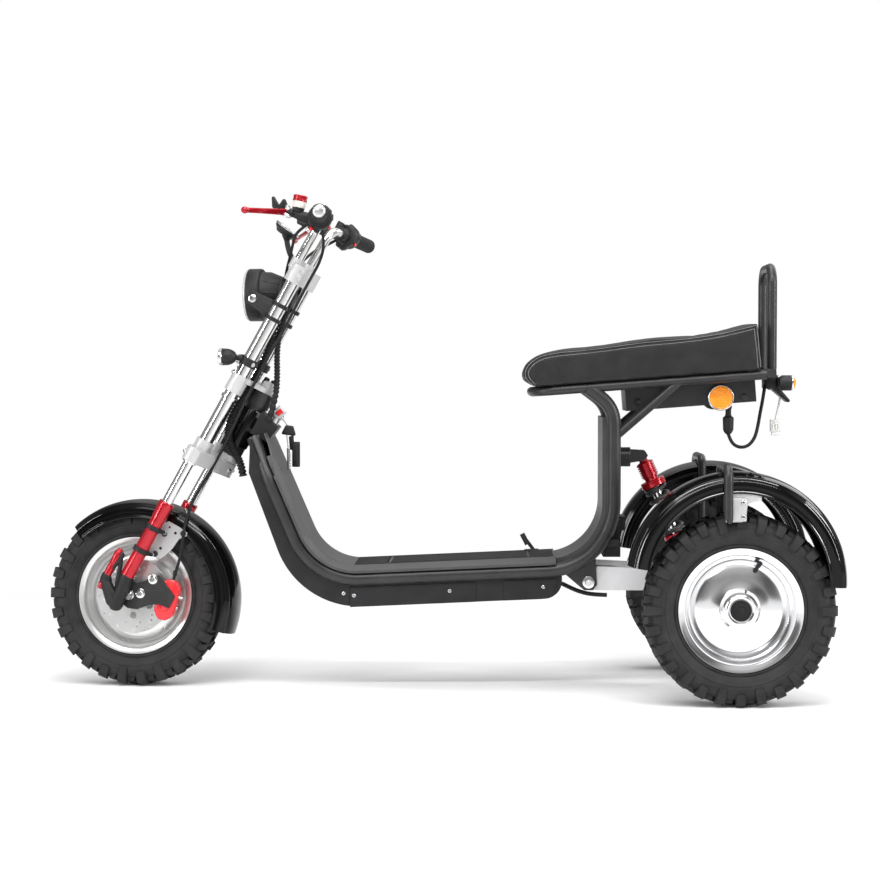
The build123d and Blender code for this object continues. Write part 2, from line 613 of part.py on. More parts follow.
beam = slab([(PIVOT_X + 16, PIVOT_Z + 18), (PIVOT_X - 22, PIVOT_Z + 36),
             (REAR_AXLE_X + 50, AXLE_Z + 62), (REAR_AXLE_X - 8, AXLE_Z + 36),
             (REAR_AXLE_X - 8, AXLE_Z - 30), (REAR_AXLE_X + 50, AXLE_Z - 30),
             (REAR_AXLE_X + 120, AXLE_Z + 20), (PIVOT_X, PIVOT_Z - 20)],
            SWINGARM_Y - SWINGARM_W / 2, SWINGARM_Y + SWINGARM_W / 2)
housing = rod((REAR_AXLE_X, -HOUSING_END, AXLE_Z), (REAR_AXLE_X, HOUSING_END, AXLE_Z), HOUSING_R)
pivot_tube = rod((PIVOT_X, -SWINGARM_Y, PIVOT_Z), (PIVOT_X, SWINGARM_Y, PIVOT_Z), 18)
SHOCK_TOP = (-484.5, 548.0)
SHOCK_LOW = (-580.0, 333.0)
deck_plate = block((SHOCK_LOW[0] - 45, SHOCK_LOW[0] + 45), (-SWINGARM_Y, SWINGARM_Y), (268, 276))
swingarm = merged(beam, mirrored(beam), pivot_tube, deck_plate, housing)
HALF_SHAFT_END = TRACK / 2 + REAR_HUB_OUT + AXLE_NUT_T
shaft = rod((REAR_AXLE_X, -HALF_SHAFT_END, AXLE_Z), (REAR_AXLE_X, HALF_SHAFT_END, AXLE_Z), AXLE_R)
lower_ear = slab([(-560, 270), (-566, 345), (-592, 345), (-600, 270)], 12, 18)
swingarm = merged(swingarm, shaft, lower_ear, mirrored(lower_ear)) - pivot_bolt
part("swingarm", swingarm)

MOTOR_R = 62.0
motor = rod((REAR_AXLE_X + 72, -45, AXLE_Z - 2), (REAR_AXLE_X + 72, 45, AXLE_Z - 2), MOTOR_R)
part("drive_motor", motor - swingarm)

# Shock absorber
post_cross = rod((POST_X, -RAIL_Y, POST_CROSS_Z), (POST_X, RAIL_Y, POST_CROSS_Z), POST_CROSS_R)
boss = rod((POST_X, 0, POST_CROSS_Z + 3), (POST_X - 45, 0, POST_CROSS_Z + 3), 23)
ears = both_sides(slab([(-455, 530), (-455, 562), (-492, 560), (-500, 548), (-492, 536)], 12.0, 18))
post_cross = (post_cross - both_rails).solids().sort_by(SortBy.VOLUME)[-1]
shock_mount = post_cross + boss + ears
part("shock_mount", shock_mount)
shock_dir = (vec(SHOCK_LOW[0], 0, SHOCK_LOW[1]) - vec(SHOCK_TOP[0], 0, SHOCK_TOP[1])).normalized()


def along_shock(distance):
    return vec(SHOCK_TOP[0], 0, SHOCK_TOP[1]) + shock_dir * distance


shock_length = (vec(*SHOCK_LOW) - vec(*SHOCK_TOP)).length
eye_top = rod((SHOCK_TOP[0], -11.7, SHOCK_TOP[1]), (SHOCK_TOP[0], 11.7, SHOCK_TOP[1]), 13)
eye_low = rod((SHOCK_LOW[0], -11.7, SHOCK_LOW[1]), (SHOCK_LOW[0], 11.7, SHOCK_LOW[1]), 13)
shock_body = merged(eye_top, rod(along_shock(8), along_shock(22), 9),
                    rod(along_shock(20), along_shock(56), 21),
                    rod(along_shock(56), along_shock(64), 16),
                    rod(along_shock(64), along_shock(80), 30))
shock_rod = merged(rod(along_shock(80), along_shock(shock_length - 34), 12),
                   rod(along_shock(shock_length - 34), along_shock(shock_length - 24), 30),
                   rod(along_shock(shock_length - 24), along_shock(shock_length - 8), 9), eye_low)
spring = rod(along_shock(80), along_shock(shock_length - 34), 28) - rod(
    along_shock(70), along_shock(shock_length - 20), 19)
part("shock_absorber", shock_body + shock_rod)
part("shock_spring", spring)

# Fenders


def fender_outline(inset, top_r, lip_r, half):
    return [(lip_r, half - inset), (lip_r + 28, half - inset), (top_r - 10 - inset, half * 0.72),
            (top_r - 1 - inset, half * 0.3), (top_r - inset, 0)]


def fender(top_r, lip_r, half, thick, first, last):
    """Guard over a wheel, open below, between two angles above +X."""
    outer = fender_outline(0.0, top_r, lip_r, half)
    inner = fender_outline(thick, top_r, lip_r, half)
    loop_points = outer + [(r, -y) for r, y in outer[-2::-1]]
    loop_points += [(r, -y) for r, y in inner[:-1]] + inner[::-1]
    return Rot(0, -last, 0) * turned(loop_points, last - first)


FENDER_LIP_R = 198.0
fender_x = REAR_AXLE_X + FENDER_FORWARD
fender_z = AXLE_Z + FENDER_RISE
rear_fender = fender(FENDER_R, FENDER_LIP_R, FENDER_HALF_W, FENDER_T, 8.0, 182.5)
rear_fenders = [Pos(fender_x, y, fender_z) * rear_fender for y in (TRACK / 2, -TRACK / 2)]
part("rear_fenders", *rear_fenders)

HOOP_R = 10.0
HOOP_X = -650.0
HOOP_IN_Y = 195.0
HOOP_OUT_Y = TRACK / 2 + FENDER_HALF_W + 12.0
HOOP_TOP_Z = fender_z + FENDER_R + HOOP_R - 0.6
HOOP_END_Z = 412.0
hoop = pipe([(HOOP_X, HOOP_IN_Y, AXLE_Z), (HOOP_X, HOOP_IN_Y, HOOP_TOP_Z),
             (HOOP_X, HOOP_OUT_Y, HOOP_TOP_Z), (HOOP_X, HOOP_OUT_Y, HOOP_END_Z)], [28, 28], HOOP_R)
hoop = (hoop - housing).solids().sort_by(SortBy.VOLUME)[-1]
PLATE_OUT = TRACK / 2 + FENDER_HALF_W - FENDER_T
SKIRT_PLATE_T = 4.0
plate_outline = [(HOOP_X + 4, HOOP_END_Z + 2), (HOOP_X - 32, HOOP_END_Z + 2),
                 (HOOP_X - 44, HOOP_END_Z + 42), (HOOP_X - 74, HOOP_END_Z + 50),
                 (HOOP_X - 74, HOOP_END_Z + 76), (HOOP_X + 4, HOOP_END_Z + 76)]
skirt_plate = slab(plate_outline, PLATE_OUT - SKIRT_PLATE_T, PLATE_OUT)
tab = slab([(HOOP_X - 2, HOOP_END_Z + 2), (HOOP_X - 40, HOOP_END_Z + 2),
            (HOOP_X - 40, HOOP_END_Z + 52), (HOOP_X - 2, HOOP_END_Z + 52)],
           PLATE_OUT, HOOP_OUT_Y - HOOP_R + 3)
hoop = merged(hoop, tab, skirt_plate)
part("fender_hoops", hoop, mirrored(hoop))

# Rear lamps and number-plate holder
TAIL_X = BACKREST_X - BACKREST_R
tail_z = spot(SEAT, -SEAT_RAIL_REAR - TAIL_T / 2, 0, 0).Z
tail_bracket = merged(block((TAIL_X - 8, TAIL_X + 20), (-30, 30), (tail_z - 34, tail_z - 4)),
                      slab([(TAIL_X - 6, tail_z - 30), (TAIL_X + 6, tail_z - 30),
                            (TAIL_X - 34, tail_z - 66), (TAIL_X - 40, tail_z - 60)], -26, 26))
tail_lamp = block((TAIL_X - 36, TAIL_X - 8), (-40, 40), (tail_z - 34, tail_z - 6))
signal_arm = rod((TAIL_X - 20, -100, tail_z - 20), (TAIL_X - 20, 100, tail_z - 20), 6)
tail_signal = rod((TAIL_X - 40, 110, tail_z - 20), (TAIL_X, 110, tail_z - 20), 18)
part("tail_lamps", merged(tail_bracket, tail_lamp, signal_arm, tail_signal,
                          mirrored(tail_signal)) - tail_block)

# ---------------------------------------------------------------- fork, in its own frame
# Places are (ahead of the steering axis, left, along the axis above the nut).
SLIDER_LOW = AXLE_ALONG + SLIDER_ABOVE_AXLE
SLIDER_TOP = SLIDER_LOW + SLIDER_LENGTH
SLIDER_CUP = 60.0
TOP_CLAMP_TOP = TOP_CLAMP_LOW + TOP_CLAMP_T


def leg(low, high, radius, y, ahead=TUBE_FORWARD):
    """Bar parallel to the steering axis."""
    return rod((ahead, y, low), (ahead, y, high), radius)


def hull_plate(low, high, *spots):
    """Plate round several (ahead, y, radius) bosses."""
    discs = Sketch() + [Pos(x, y) * Circle(r) for x, y, r in spots]
    return Pos(0, 0, low) * extrude(make_hull(discs.edges()), high - low)


upper_tube = leg(CROWN_LOW, TOP_CLAMP_TOP - 14, UPPER_TUBE_R, UPPER_TUBE_Y)
stanchion = leg(SLIDER_TOP - SLIDER_CUP, CROWN_LOW + CROWN_T, STANCHION_R, LEG_Y)
upper_tubes = both_sides(upper_tube)
stanchions = both_sides(stanchion)
part("fork_tubes", *place_fork(upper_tubes, stanchions))

BOSS_WALL = 8.0
crown = hull_plate(CROWN_LOW, CROWN_LOW + CROWN_T, (0, 0, HEAD_TUBE_R),
                   (TUBE_FORWARD, LEG_Y, STANCHION_R + BOSS_WALL),
                   (TUBE_FORWARD, -LEG_Y, STANCHION_R + BOSS_WALL))
crown = crown + rod((0, 0, CROWN_LOW), (0, 0, CROWN_BOSS_TOP), HEAD_TUBE_R - 1)
crown = crown + both_sides(leg(CROWN_LOW, CROWN_LOW + CROWN_T + 23, UPPER_TUBE_R + 5, UPPER_TUBE_Y))
stem = rod((0, 0, CROWN_BOSS_TOP - 5), (0, 0, YOKE_LOW + YOKE_T + 16), STEM_R)
nut = Pos(0, 0, YOKE_LOW + YOKE_T) * extrude(RegularPolygon(18.5, 6), 13)
crown = crown - upper_tubes - stanchions
part("steering_crown", *place_fork(crown + stem))

yoke = hull_plate(YOKE_LOW, YOKE_LOW + YOKE_T, (0, 0, 21), (TUBE_FORWARD, UPPER_TUBE_Y, 21),
                  (TUBE_FORWARD, -UPPER_TUBE_Y, 21))
collars = both_sides(leg(YOKE_LOW - 32, YOKE_LOW + YOKE_T, UPPER_TUBE_R + 5, UPPER_TUBE_Y))
yoke = merged(yoke, *collars.solids()) - upper_tubes - stem
part("upper_yoke", *place_fork(yoke + (nut - stem)))

riser_y = UPPER_TUBE_Y
clamp = hull_plate(TOP_CLAMP_LOW, TOP_CLAMP_TOP, (TUBE_FORWARD, riser_y, 23),
                   (TUBE_FORWARD, -riser_y, 23))
bar_points = [(RISER_FORWARD, riser_y, TOP_CLAMP_TOP - 13),
              (RISER_FORWARD - 3, riser_y + 2, BAR_HEIGHT),
              (RISER_FORWARD - 3 - BAR_SWEEP, BAR_END_Y, BAR_HEIGHT + 14)]
BAR_BEND_R = 38.0
bar = pipe(bar_points, BAR_BEND_R, BAR_R)
riser_sleeve = leg(TOP_CLAMP_TOP - 14, TOP_CLAMP_TOP + 12, BAR_R + 5, riser_y, RISER_FORWARD)
clamp = merged(clamp, *both_sides(riser_sleeve).solids()) - upper_tubes - both_sides(bar)
part("top_clamp", *place_fork(clamp))
part("handlebar", *place_fork(both_sides(bar)))

bar_start, bar_end = vec(*bar_points[1]), vec(*bar_points[2])
bar_dir = (bar_end - bar_start).normalized()
bar_length = (bar_end - bar_start).length


def on_bar(first, last, radius):
    """Sleeve round the left bar, between distances from its end."""
    return rod(bar_end - bar_dir * first, bar_end - bar_dir * last, radius)


bar_cap = on_bar(-8, 0, 15.0)
grip = on_bar(0, GRIP_LENGTH, GRIP_R) - bar
left_cap_grip = grip + bar_cap
part("grips", *place_fork(both_sides(left_cap_grip)))
switch = on_bar(GRIP_LENGTH + 1, GRIP_LENGTH + 40, 29.0) - bar
part("bar_switches", *place_fork(both_sides(switch)))
PERCH_AT = GRIP_LENGTH + 42
perch = merged(on_bar(PERCH_AT, PERCH_AT + 22, 17.0),
               rod(bar_end - bar_dir * (PERCH_AT + 11),
                   bar_end - bar_dir * (PERCH_AT + 11) + vec(75, 8, -22), 11.0)) - bar
reservoir_at = bar_end - bar_dir * (PERCH_AT + 11) + vec(48, 5, -14)
reservoir = rod(reservoir_at, reservoir_at + vec(12, 0, 36), 15.5) - perch
perch_tip = bar_end - bar_dir * (PERCH_AT + 11) + vec(75, 8, -22)
lever_tip = vec(182.0, 250.0, 345.0)
lever = rod(perch_tip, lever_tip, 7.0) - perch
part("brake_levers", *place_fork(both_sides(merged(perch, reservoir, lever))))

# Lower legs
slider = leg(SLIDER_LOW, SLIDER_TOP, SLIDER_R, LEG_Y) + leg(SLIDER_TOP - 22, SLIDER_TOP, 18.5, LEG_Y)
sliders = both_sides(slider) - stanchions
part("fork_sliders", *place_fork(*sliders.solids()))
FOOT_R = 17.5
foot_low = (41.0, LEG_Y, AXLE_ALONG - 32)
foot_top = (TUBE_FORWARD, LEG_Y, SLIDER_LOW)
arm_tip = (97.0, LEG_Y, AXLE_ALONG + 10)
foot = merged(rod(foot_top, foot_low, FOOT_R), Pos(*foot_low) * Sphere(FOOT_R),
              rod(foot_low, arm_tip, 12.0))
AXLE_PLATE_T = 8.0
plate_in = LEG_Y - FOOT_R - AXLE_PLATE_T
axle_plate = slab([(AXLE_FORWARD + 20, AXLE_ALONG - 22), (AXLE_FORWARD + 26, AXLE_ALONG + 30),
                   (AXLE_FORWARD - 96, AXLE_ALONG + 52), (AXLE_FORWARD - 96, AXLE_ALONG + 22),
                   (AXLE_FORWARD - 28, AXLE_ALONG - 22)], plate_in, LEG_Y - FOOT_R + 6)
front_axle = rod((AXLE_FORWARD, -LEG_Y + 3, AXLE_ALONG), (AXLE_FORWARD, LEG_Y - 3, AXLE_ALONG), AXLE_R)
feet = merged(foot, axle_plate)
chamber = rod(arm_tip, (arm_tip[0], LEG_Y, arm_tip[2] + 72), 10.0)
feet = merged(feet, chamber) - leg(SLIDER_LOW, SLIDER_TOP, SLIDER_R, LEG_Y)
feet = feet.solids().sort_by(SortBy.VOLUME)[-1]
part("fork_feet", *place_fork(merged(feet, front_axle, mirrored(feet))))

# Front fender
FRONT_FENDER_R = 238.0
FRONT_LIP_R = 192.0
FRONT_FENDER_HALF = 66.0
guard = fender(FRONT_FENDER_R, FRONT_LIP_R, FRONT_FENDER_HALF, FENDER_T, 48.0, 200.0)
FENDER_PLACE = Pos(AXLE_FORWARD, 0, AXLE_ALONG) * UPRIGHT * Pos(-7, 0, -8)
part("front_fender", *place_fork(FENDER_PLACE * guard))

# Headlamp, level with the floor
LAMP_R = 62.5
lamp = Pos(146.0, 0, 176.0) * UPRIGHT
shell = lamp * merged(rod((-34, 0, 0), (0, 0, 0), LAMP_R),
                      revolve(make_face(Polyline((-34, 0), (-34, 58), (-62, 48), (-78, 34), (-82, 0),
                                                 close=True)), Axis.X))
lens = lamp * revolve(make_face(Polyline((0, 0), (0, 56), (6, 48), (12, 28), (14, 0), close=True)),
                      Axis.X)
part("headlamp_lens", *place_fork(lens))
lamp_arm = slab([(TUBE_FORWARD - 4, 150), (TUBE_FORWARD - 4, 196), (130, 190), (130, 160)],
                LAMP_R - 1, LAMP_R + 4)
lamp_arms = (both_sides(lamp_arm) - upper_tubes).solids().sort_by(SortBy.VOLUME)[-2:]
part("headlamp_shell", *place_fork(merged(shell, *lamp_arms)))

# Front turn signals
signal_clamp = leg(28, 48, UPPER_TUBE_R + 4, UPPER_TUBE_Y) - upper_tube
signal_stalk = rod((TUBE_FORWARD + 19, UPPER_TUBE_Y, 38), (96, 80, 30), 6.0)
signal_body = Pos(102, 84, 24) * UPRIGHT * rod((-22, 0, 0), (16, 0, 0), 18.0)
signals = merged(signal_clamp, signal_stalk, signal_body)
part("front_signals", *place_fork(both_sides(signals - upper_tube)))

# Display
display = Pos(143, 0, 352) * Rot(0, -8, 0) * rod((0, 0, -12), (0, 0, 8), 32.0)
display_arm = rod((TUBE_FORWARD + 20, 0, TOP_CLAMP_TOP - 12), (135, 0, 342), 7.0) - clamp
part("display", *place_fork(display + display_arm))

# Front caliper
caliper = block((-25, 25), (FRONT_DISC_Y - 9, plate_in), (-48, 48))
caliper = Pos(AXLE_FORWARD - 80, 0, AXLE_ALONG + 35) * Rot(0, 14, 0) * caliper
caliper_gap = Pos(AXLE_FORWARD, 0, AXLE_ALONG) * turned(
    [(0, FRONT_DISC_Y - 5), (DISC_R + HUB_CLEAR, FRONT_DISC_Y - 5),
     (DISC_R + HUB_CLEAR, FRONT_DISC_Y + 5), (0, FRONT_DISC_Y + 5)])
part("front_caliper", *place_fork(caliper - caliper_gap))

# Fender bracket: clamp rings round each slider carry a plate bolted to the fender's side
RING_R = 20.0
RING_T = 12.0
fender_bracket = slab([(50, -402), (36, -381), (-17, -383), (-12, -398), (11, -469), (50, -474)],
                      FRONT_FENDER_HALF, FRONT_FENDER_HALF + 4)
fender_bracket = fender_bracket + block((44, 50), (FRONT_FENDER_HALF, LEG_Y - 17), (-474, -402))
for ring_low in (-474.0, -414.0):
    fender_bracket = fender_bracket + leg(ring_low, ring_low + RING_T, RING_R, LEG_Y)
fender_bracket = fender_bracket - leg(SLIDER_LOW, SLIDER_TOP, SLIDER_R, LEG_Y)
part("fender_bracket", *place_fork(both_sides(fender_bracket)))

# Rear calipers, carried by the axle housing
CALIPER_R = 108.0
caliper_y = TRACK / 2 + REAR_DISC_Y
rear_caliper = block((52, CALIPER_R), (caliper_y - 16, caliper_y + 16), (-34, 34))
rear_caliper = rear_caliper - block((0, DISC_R + HUB_CLEAR), (caliper_y - 7, caliper_y + 7), (-40, 40))
hanger = block((HOUSING_R - 3, 60), (caliper_y - 21, caliper_y - 15), (-22, 22))
rear_caliper = merged(rear_caliper, hanger)
rear_caliper = Pos(REAR_AXLE_X, 0, AXLE_Z) * Rot(0, -150, 0) * rear_caliper - swingarm
part("rear_calipers", both_sides(rear_caliper.solids().sort_by(SortBy.VOLUME)[-1]))

# Electrical box behind the posts
box_feet = block((-425, -400), (-RAIL_Y, RAIL_Y), (340, 356)) - both_rails
post_box = box_feet.solids().sort_by(SortBy.VOLUME)[-1] + block((-432, POST_X + RISER_RISE - BOARD_T - 1), (-70, 70), (312, 400)) + block((-445, -431), (-40, 40), (372, 405))
part("post_box", post_box - riser)

# Key with its bunch hanging from the switch
key = merged(block((369, 384), (-2, 2), (640, 660)), rod((372, 0, 645), (352, 0, 612), 1.5),
             block((340, 372), (-4, 4), (592, 618)), rod((346, 0, 595), (338, 0, 575), 1.5),
             block((326, 346), (-6, 6), (518, 580)), rod((358, 0, 595), (354, 0, 560), 1.5),
             block((348, 358), (-1.5, 1.5), (512, 565)))
switch_lock = NECK * rod((-52, 0, -66), (-52, 0, -30), 14)
part("key_switch", (switch_lock - ignition_box) + key)
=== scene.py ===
"""Dresses the electric tricycle: finishes, tread, seat, cables, springs and small fittings."""
import json
from math import atan2, cos, pi, radians, sin, sqrt, tan, tau

import bmesh
import bpy
from mathutils import Matrix, Vector, noise
from mathutils.bvhtree import BVHTree
from mathutils.kdtree import KDTree


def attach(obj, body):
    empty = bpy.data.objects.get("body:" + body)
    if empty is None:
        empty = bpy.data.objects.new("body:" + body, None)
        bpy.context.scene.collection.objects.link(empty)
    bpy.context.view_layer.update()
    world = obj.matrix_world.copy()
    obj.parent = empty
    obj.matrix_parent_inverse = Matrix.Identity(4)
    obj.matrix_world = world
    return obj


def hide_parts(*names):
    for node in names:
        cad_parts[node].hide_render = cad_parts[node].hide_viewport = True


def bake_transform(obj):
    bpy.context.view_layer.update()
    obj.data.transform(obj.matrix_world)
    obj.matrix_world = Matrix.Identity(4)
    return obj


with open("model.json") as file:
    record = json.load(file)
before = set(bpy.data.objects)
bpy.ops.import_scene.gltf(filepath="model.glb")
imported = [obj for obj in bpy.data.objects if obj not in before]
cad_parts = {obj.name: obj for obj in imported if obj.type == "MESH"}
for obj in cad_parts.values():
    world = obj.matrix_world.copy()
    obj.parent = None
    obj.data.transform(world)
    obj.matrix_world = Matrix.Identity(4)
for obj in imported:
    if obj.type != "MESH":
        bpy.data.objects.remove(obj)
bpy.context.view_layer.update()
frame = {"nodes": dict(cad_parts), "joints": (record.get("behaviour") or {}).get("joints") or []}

MM = 0.001
NODES = frame["nodes"]
JOINTS = {joint["name"]: joint for joint in frame["joints"]}


def placed(name, data):
    """New object in the scene."""
    thing = bpy.data.objects.new(name, data)
    bpy.context.scene.collection.objects.link(thing)
    return thing


# ---------------------------------------------------------------- camera and light
CAMERA_PLACE = (-0.1305, 4.6984, 0.738)
CAMERA_YAW, CAMERA_PITCH = radians(-1.5), radians(-1.883098)
SENSOR = 36.0
FOCAL_WIDTHS = 2.2465909           # focal length in widths of the picture


def make_camera():
    """Long lens from the rider's left, a little above the deck."""
    yaw, pitch = CAMERA_YAW, CAMERA_PITCH
    back = Vector((sin(yaw) * cos(pitch), cos(yaw) * cos(pitch), -sin(pitch)))
    right = Vector((-cos(yaw), sin(yaw), 0))
    up = back.cross(right)
    camera = placed("camera", bpy.data.cameras.new("camera"))
    camera.data.lens = SENSOR * FOCAL_WIDTHS
    camera.data.sensor_width = SENSOR
    camera.data.clip_end = 60.0
    turn = Matrix((right, up, back)).transposed()
    camera.matrix_world = Matrix.Translation(CAMERA_PLACE) @ turn.to_4x4()
    bpy.context.scene.camera = camera


def new_node(tree, kind, inputs=(), **settings):
    """New shader node; an input takes a value or the socket that feeds it."""
    made = tree.nodes.new("ShaderNode" + kind)
    for key, value in settings.items():
        setattr(made, key, value)
    for key, value in dict(inputs).items():
        if isinstance(value, bpy.types.NodeSocket):
            tree.links.new(value, made.inputs[key])
        else:
            made.inputs[key].default_value = value
    return made


def color_ramp(tree, value, stops):
    """Colour that follows a value through (position, grey or colour) stops."""
    made = new_node(tree, "ValToRGB", {"Fac": value})
    elements = made.color_ramp.elements
    elements[0].position, elements[1].position = stops[0][0], stops[-1][0]
    for place, _ in stops[1:-1]:
        elements.new(place)
    for element, (_, color) in zip(elements, stops):
        element.color = (*color, 1) if isinstance(color, tuple) else (color, color, color, 1)
    return made.outputs["Color"]


WHITE = (1, 1, 1, 1)
SKY_LIGHT = 0.50
MIRRORED_SKY = 1.10
SKY_BY_HEIGHT = [(0.0, 0.80), (0.46, 0.75), (0.51, 0.42), (0.62, 0.30), (0.74, 0.55), (0.84, 0.95),
    (1.0, 0.95)]
SKY_ALONG_X = [(0.0, 1.0), (0.16, 1.0), (0.23, 0.30), (0.29, 0.25), (0.37, 0.95), (0.60, 0.95),
    (0.69, 0.35), (0.80, 0.22), (0.90, 0.55), (1.0, 0.95)]


def make_world():
    """White behind the machine, an even sky for light and a banded studio for reflections."""
    world = bpy.data.worlds.new("studio")
    bpy.context.scene.world = world
    world.use_nodes = True
    tree = world.node_tree
    tree.nodes.clear()
    lit = new_node(tree, "Background", {"Color": WHITE, "Strength": SKY_LIGHT})
    seen = new_node(tree, "Background", {"Color": WHITE})
    coords = new_node(tree, "TexCoord")
    axes = new_node(tree, "SeparateXYZ", {0: coords.outputs["Generated"]})

    def swept(axis, stops):
        spread = new_node(tree, "MapRange", {"Value": axes.outputs[axis], "From Min": -1.0})
        return color_ramp(tree, spread.outputs["Result"], stops)

    both = new_node(tree, "MixRGB", {"Fac": 1.0, "Color1": swept("Z", SKY_BY_HEIGHT),
        "Color2": swept("X", SKY_ALONG_X)}, blend_type="MULTIPLY")
    mirrored = new_node(tree, "Background", {"Color": both.outputs["Color"], "Strength": MIRRORED_SKY})
    path = new_node(tree, "LightPath").outputs
    plain = new_node(tree, "Math", {0: path["Is Camera Ray"], 1: path["Is Transmission Ray"]},
        operation="MAXIMUM")
    first = new_node(tree, "MixShader", {0: path["Is Glossy Ray"], 1: lit.outputs[0],
        2: mirrored.outputs[0]})
    second = new_node(tree, "MixShader", {0: plain.outputs[0], 1: first.outputs[0], 2: seen.outputs[0]})
    new_node(tree, "OutputWorld", {"Surface": second.outputs[0]})


def area_light(name, place, target, size, power):
    """Rectangular lamp aimed at a target."""
    data = bpy.data.lights.new(name, "AREA")
    data.shape = "RECTANGLE"
    data.size, data.size_y = size
    data.energy = power
    lamp = placed(name, data)
    aim = (Vector(target) - Vector(place)).to_track_quat("-Z", "Y").to_matrix().to_4x4()
    lamp.matrix_world = Matrix.Translation(place) @ aim


def make_lights():
    """Soft key, top and rim light, and strips that draw streaks on gloss and chrome."""
    area_light("key", (1.2, 3.2, 3.4), (0, 0, 0.4), (2.4, 2.4), 55)
    area_light("top", (-0.4, 0.2, 3.6), (0, 0, 0), (3.0, 2.0), 70)
    area_light("rim", (-2.6, -2.2, 2.4), (0, 0, 0.5), (2.0, 2.0), 30)
    area_light("long_strip", (-0.5, 1.9, 2.7), (-0.3, 0.2, 0.4), (3.2, 0.12), 45)
    area_light("rear_strip", (-3.4, 1.6, 1.5), (-0.7, 0.3, 0.4), (0.2, 2.0), 60)
    area_light("front_strip", (3.2, 2.0, 1.4), (0.7, 0, 0.4), (0.2, 2.0), 50)


def make_floor():
    """Wide pale floor that keeps a soft shadow and fades to the white background."""
    bpy.ops.mesh.primitive_plane_add(size=40)
    floor = bpy.context.object
    floor.name = "floor"
    material = bpy.data.materials.new("floor_white")
    material.use_nodes = True
    tree = material.node_tree
    principled = tree.nodes["Principled BSDF"]
    principled.inputs["Base Color"].default_value = (0.93, 0.93, 0.93, 1)
    principled.inputs["Roughness"].default_value = 0.75
    principled.inputs["Specular IOR Level"].default_value = 0.1
    length = new_node(tree, "VectorMath", {0: new_node(tree, "TexCoord").outputs["Object"]},
        operation="LENGTH")
    fade = new_node(tree, "MapRange", {"From Min": 1.0, "From Max": 2.6,
        "Value": length.outputs["Value"]})
    path = new_node(tree, "LightPath").outputs
    looked_at = path["Is Camera Ray"]
    for ray in ("Is Glossy Ray", "Is Transmission Ray"):
        looked_at = new_node(tree, "Math", {0: looked_at, 1: path[ray]}, operation="MAXIMUM").outputs[0]
    share = new_node(tree, "Math", {0: fade.outputs["Result"], 1: looked_at}, operation="MULTIPLY")
    glow = new_node(tree, "Emission", {"Strength": 1.0})
    mix = new_node(tree, "MixShader", {0: share.outputs[0], 1: principled.outputs[0],
        2: glow.outputs[0]})
    tree.links.new(mix.outputs[0], tree.nodes["Material Output"].inputs["Surface"])
    floor.data.materials.append(material)


# ---------------------------------------------------------------- finishes
def finish(name, color, roughness, metallic=0.0, vary=0.12, vary_scale=18.0, grain=0.0,
        grain_scale=900.0, rough_vary=0.06, round_edges=0.0, coat=0.0, shine=0.5, clear=0.0):
    """Principled material with mottled colour, uneven gloss, fine grain and softened edges."""
    material = bpy.data.materials.new(name)
    material.use_nodes = True
    tree = material.node_tree
    shader = tree.nodes["Principled BSDF"]
    for socket, value in (("Metallic", metallic), ("Specular IOR Level", shine), ("Coat Weight", coat),
            ("Coat Roughness", 0.06), ("Transmission Weight", clear)):
        shader.inputs[socket].default_value = value
    spot = new_node(tree, "TexCoord").outputs["Object"]
    cloud = new_node(tree, "TexNoise", {"Scale": vary_scale, "Detail": 6.0, "Vector": spot})
    dark = tuple(max(0.0, c * (1 - vary)) for c in color)
    light = tuple(min(1.0, c * (1 + vary) + 0.004 * vary) for c in color)
    mottled = color_ramp(tree, cloud.outputs["Fac"], [(0.3, dark), (0.7, light)])
    tree.links.new(mottled, shader.inputs["Base Color"])
    gloss = new_node(tree, "MapRange", {"To Min": max(0.02, roughness - rough_vary),
        "To Max": min(1.0, roughness + rough_vary), "Value": cloud.outputs["Fac"]})
    tree.links.new(gloss.outputs["Result"], shader.inputs["Roughness"])
    normal = None
    if round_edges:
        normal = new_node(tree, "Bevel", {"Radius": round_edges}, samples=4).outputs["Normal"]
    if grain:
        fine = new_node(tree, "TexNoise", {"Scale": grain_scale, "Detail": 3.0, "Vector": spot})
        bump = new_node(tree, "Bump", {"Strength": grain, "Distance": 0.0005,
            "Height": fine.outputs["Fac"]})
        if normal:
            tree.links.new(normal, bump.inputs["Normal"])
        normal = bump.outputs["Normal"]
    if normal:
        tree.links.new(normal, shader.inputs["Normal"])
    return material


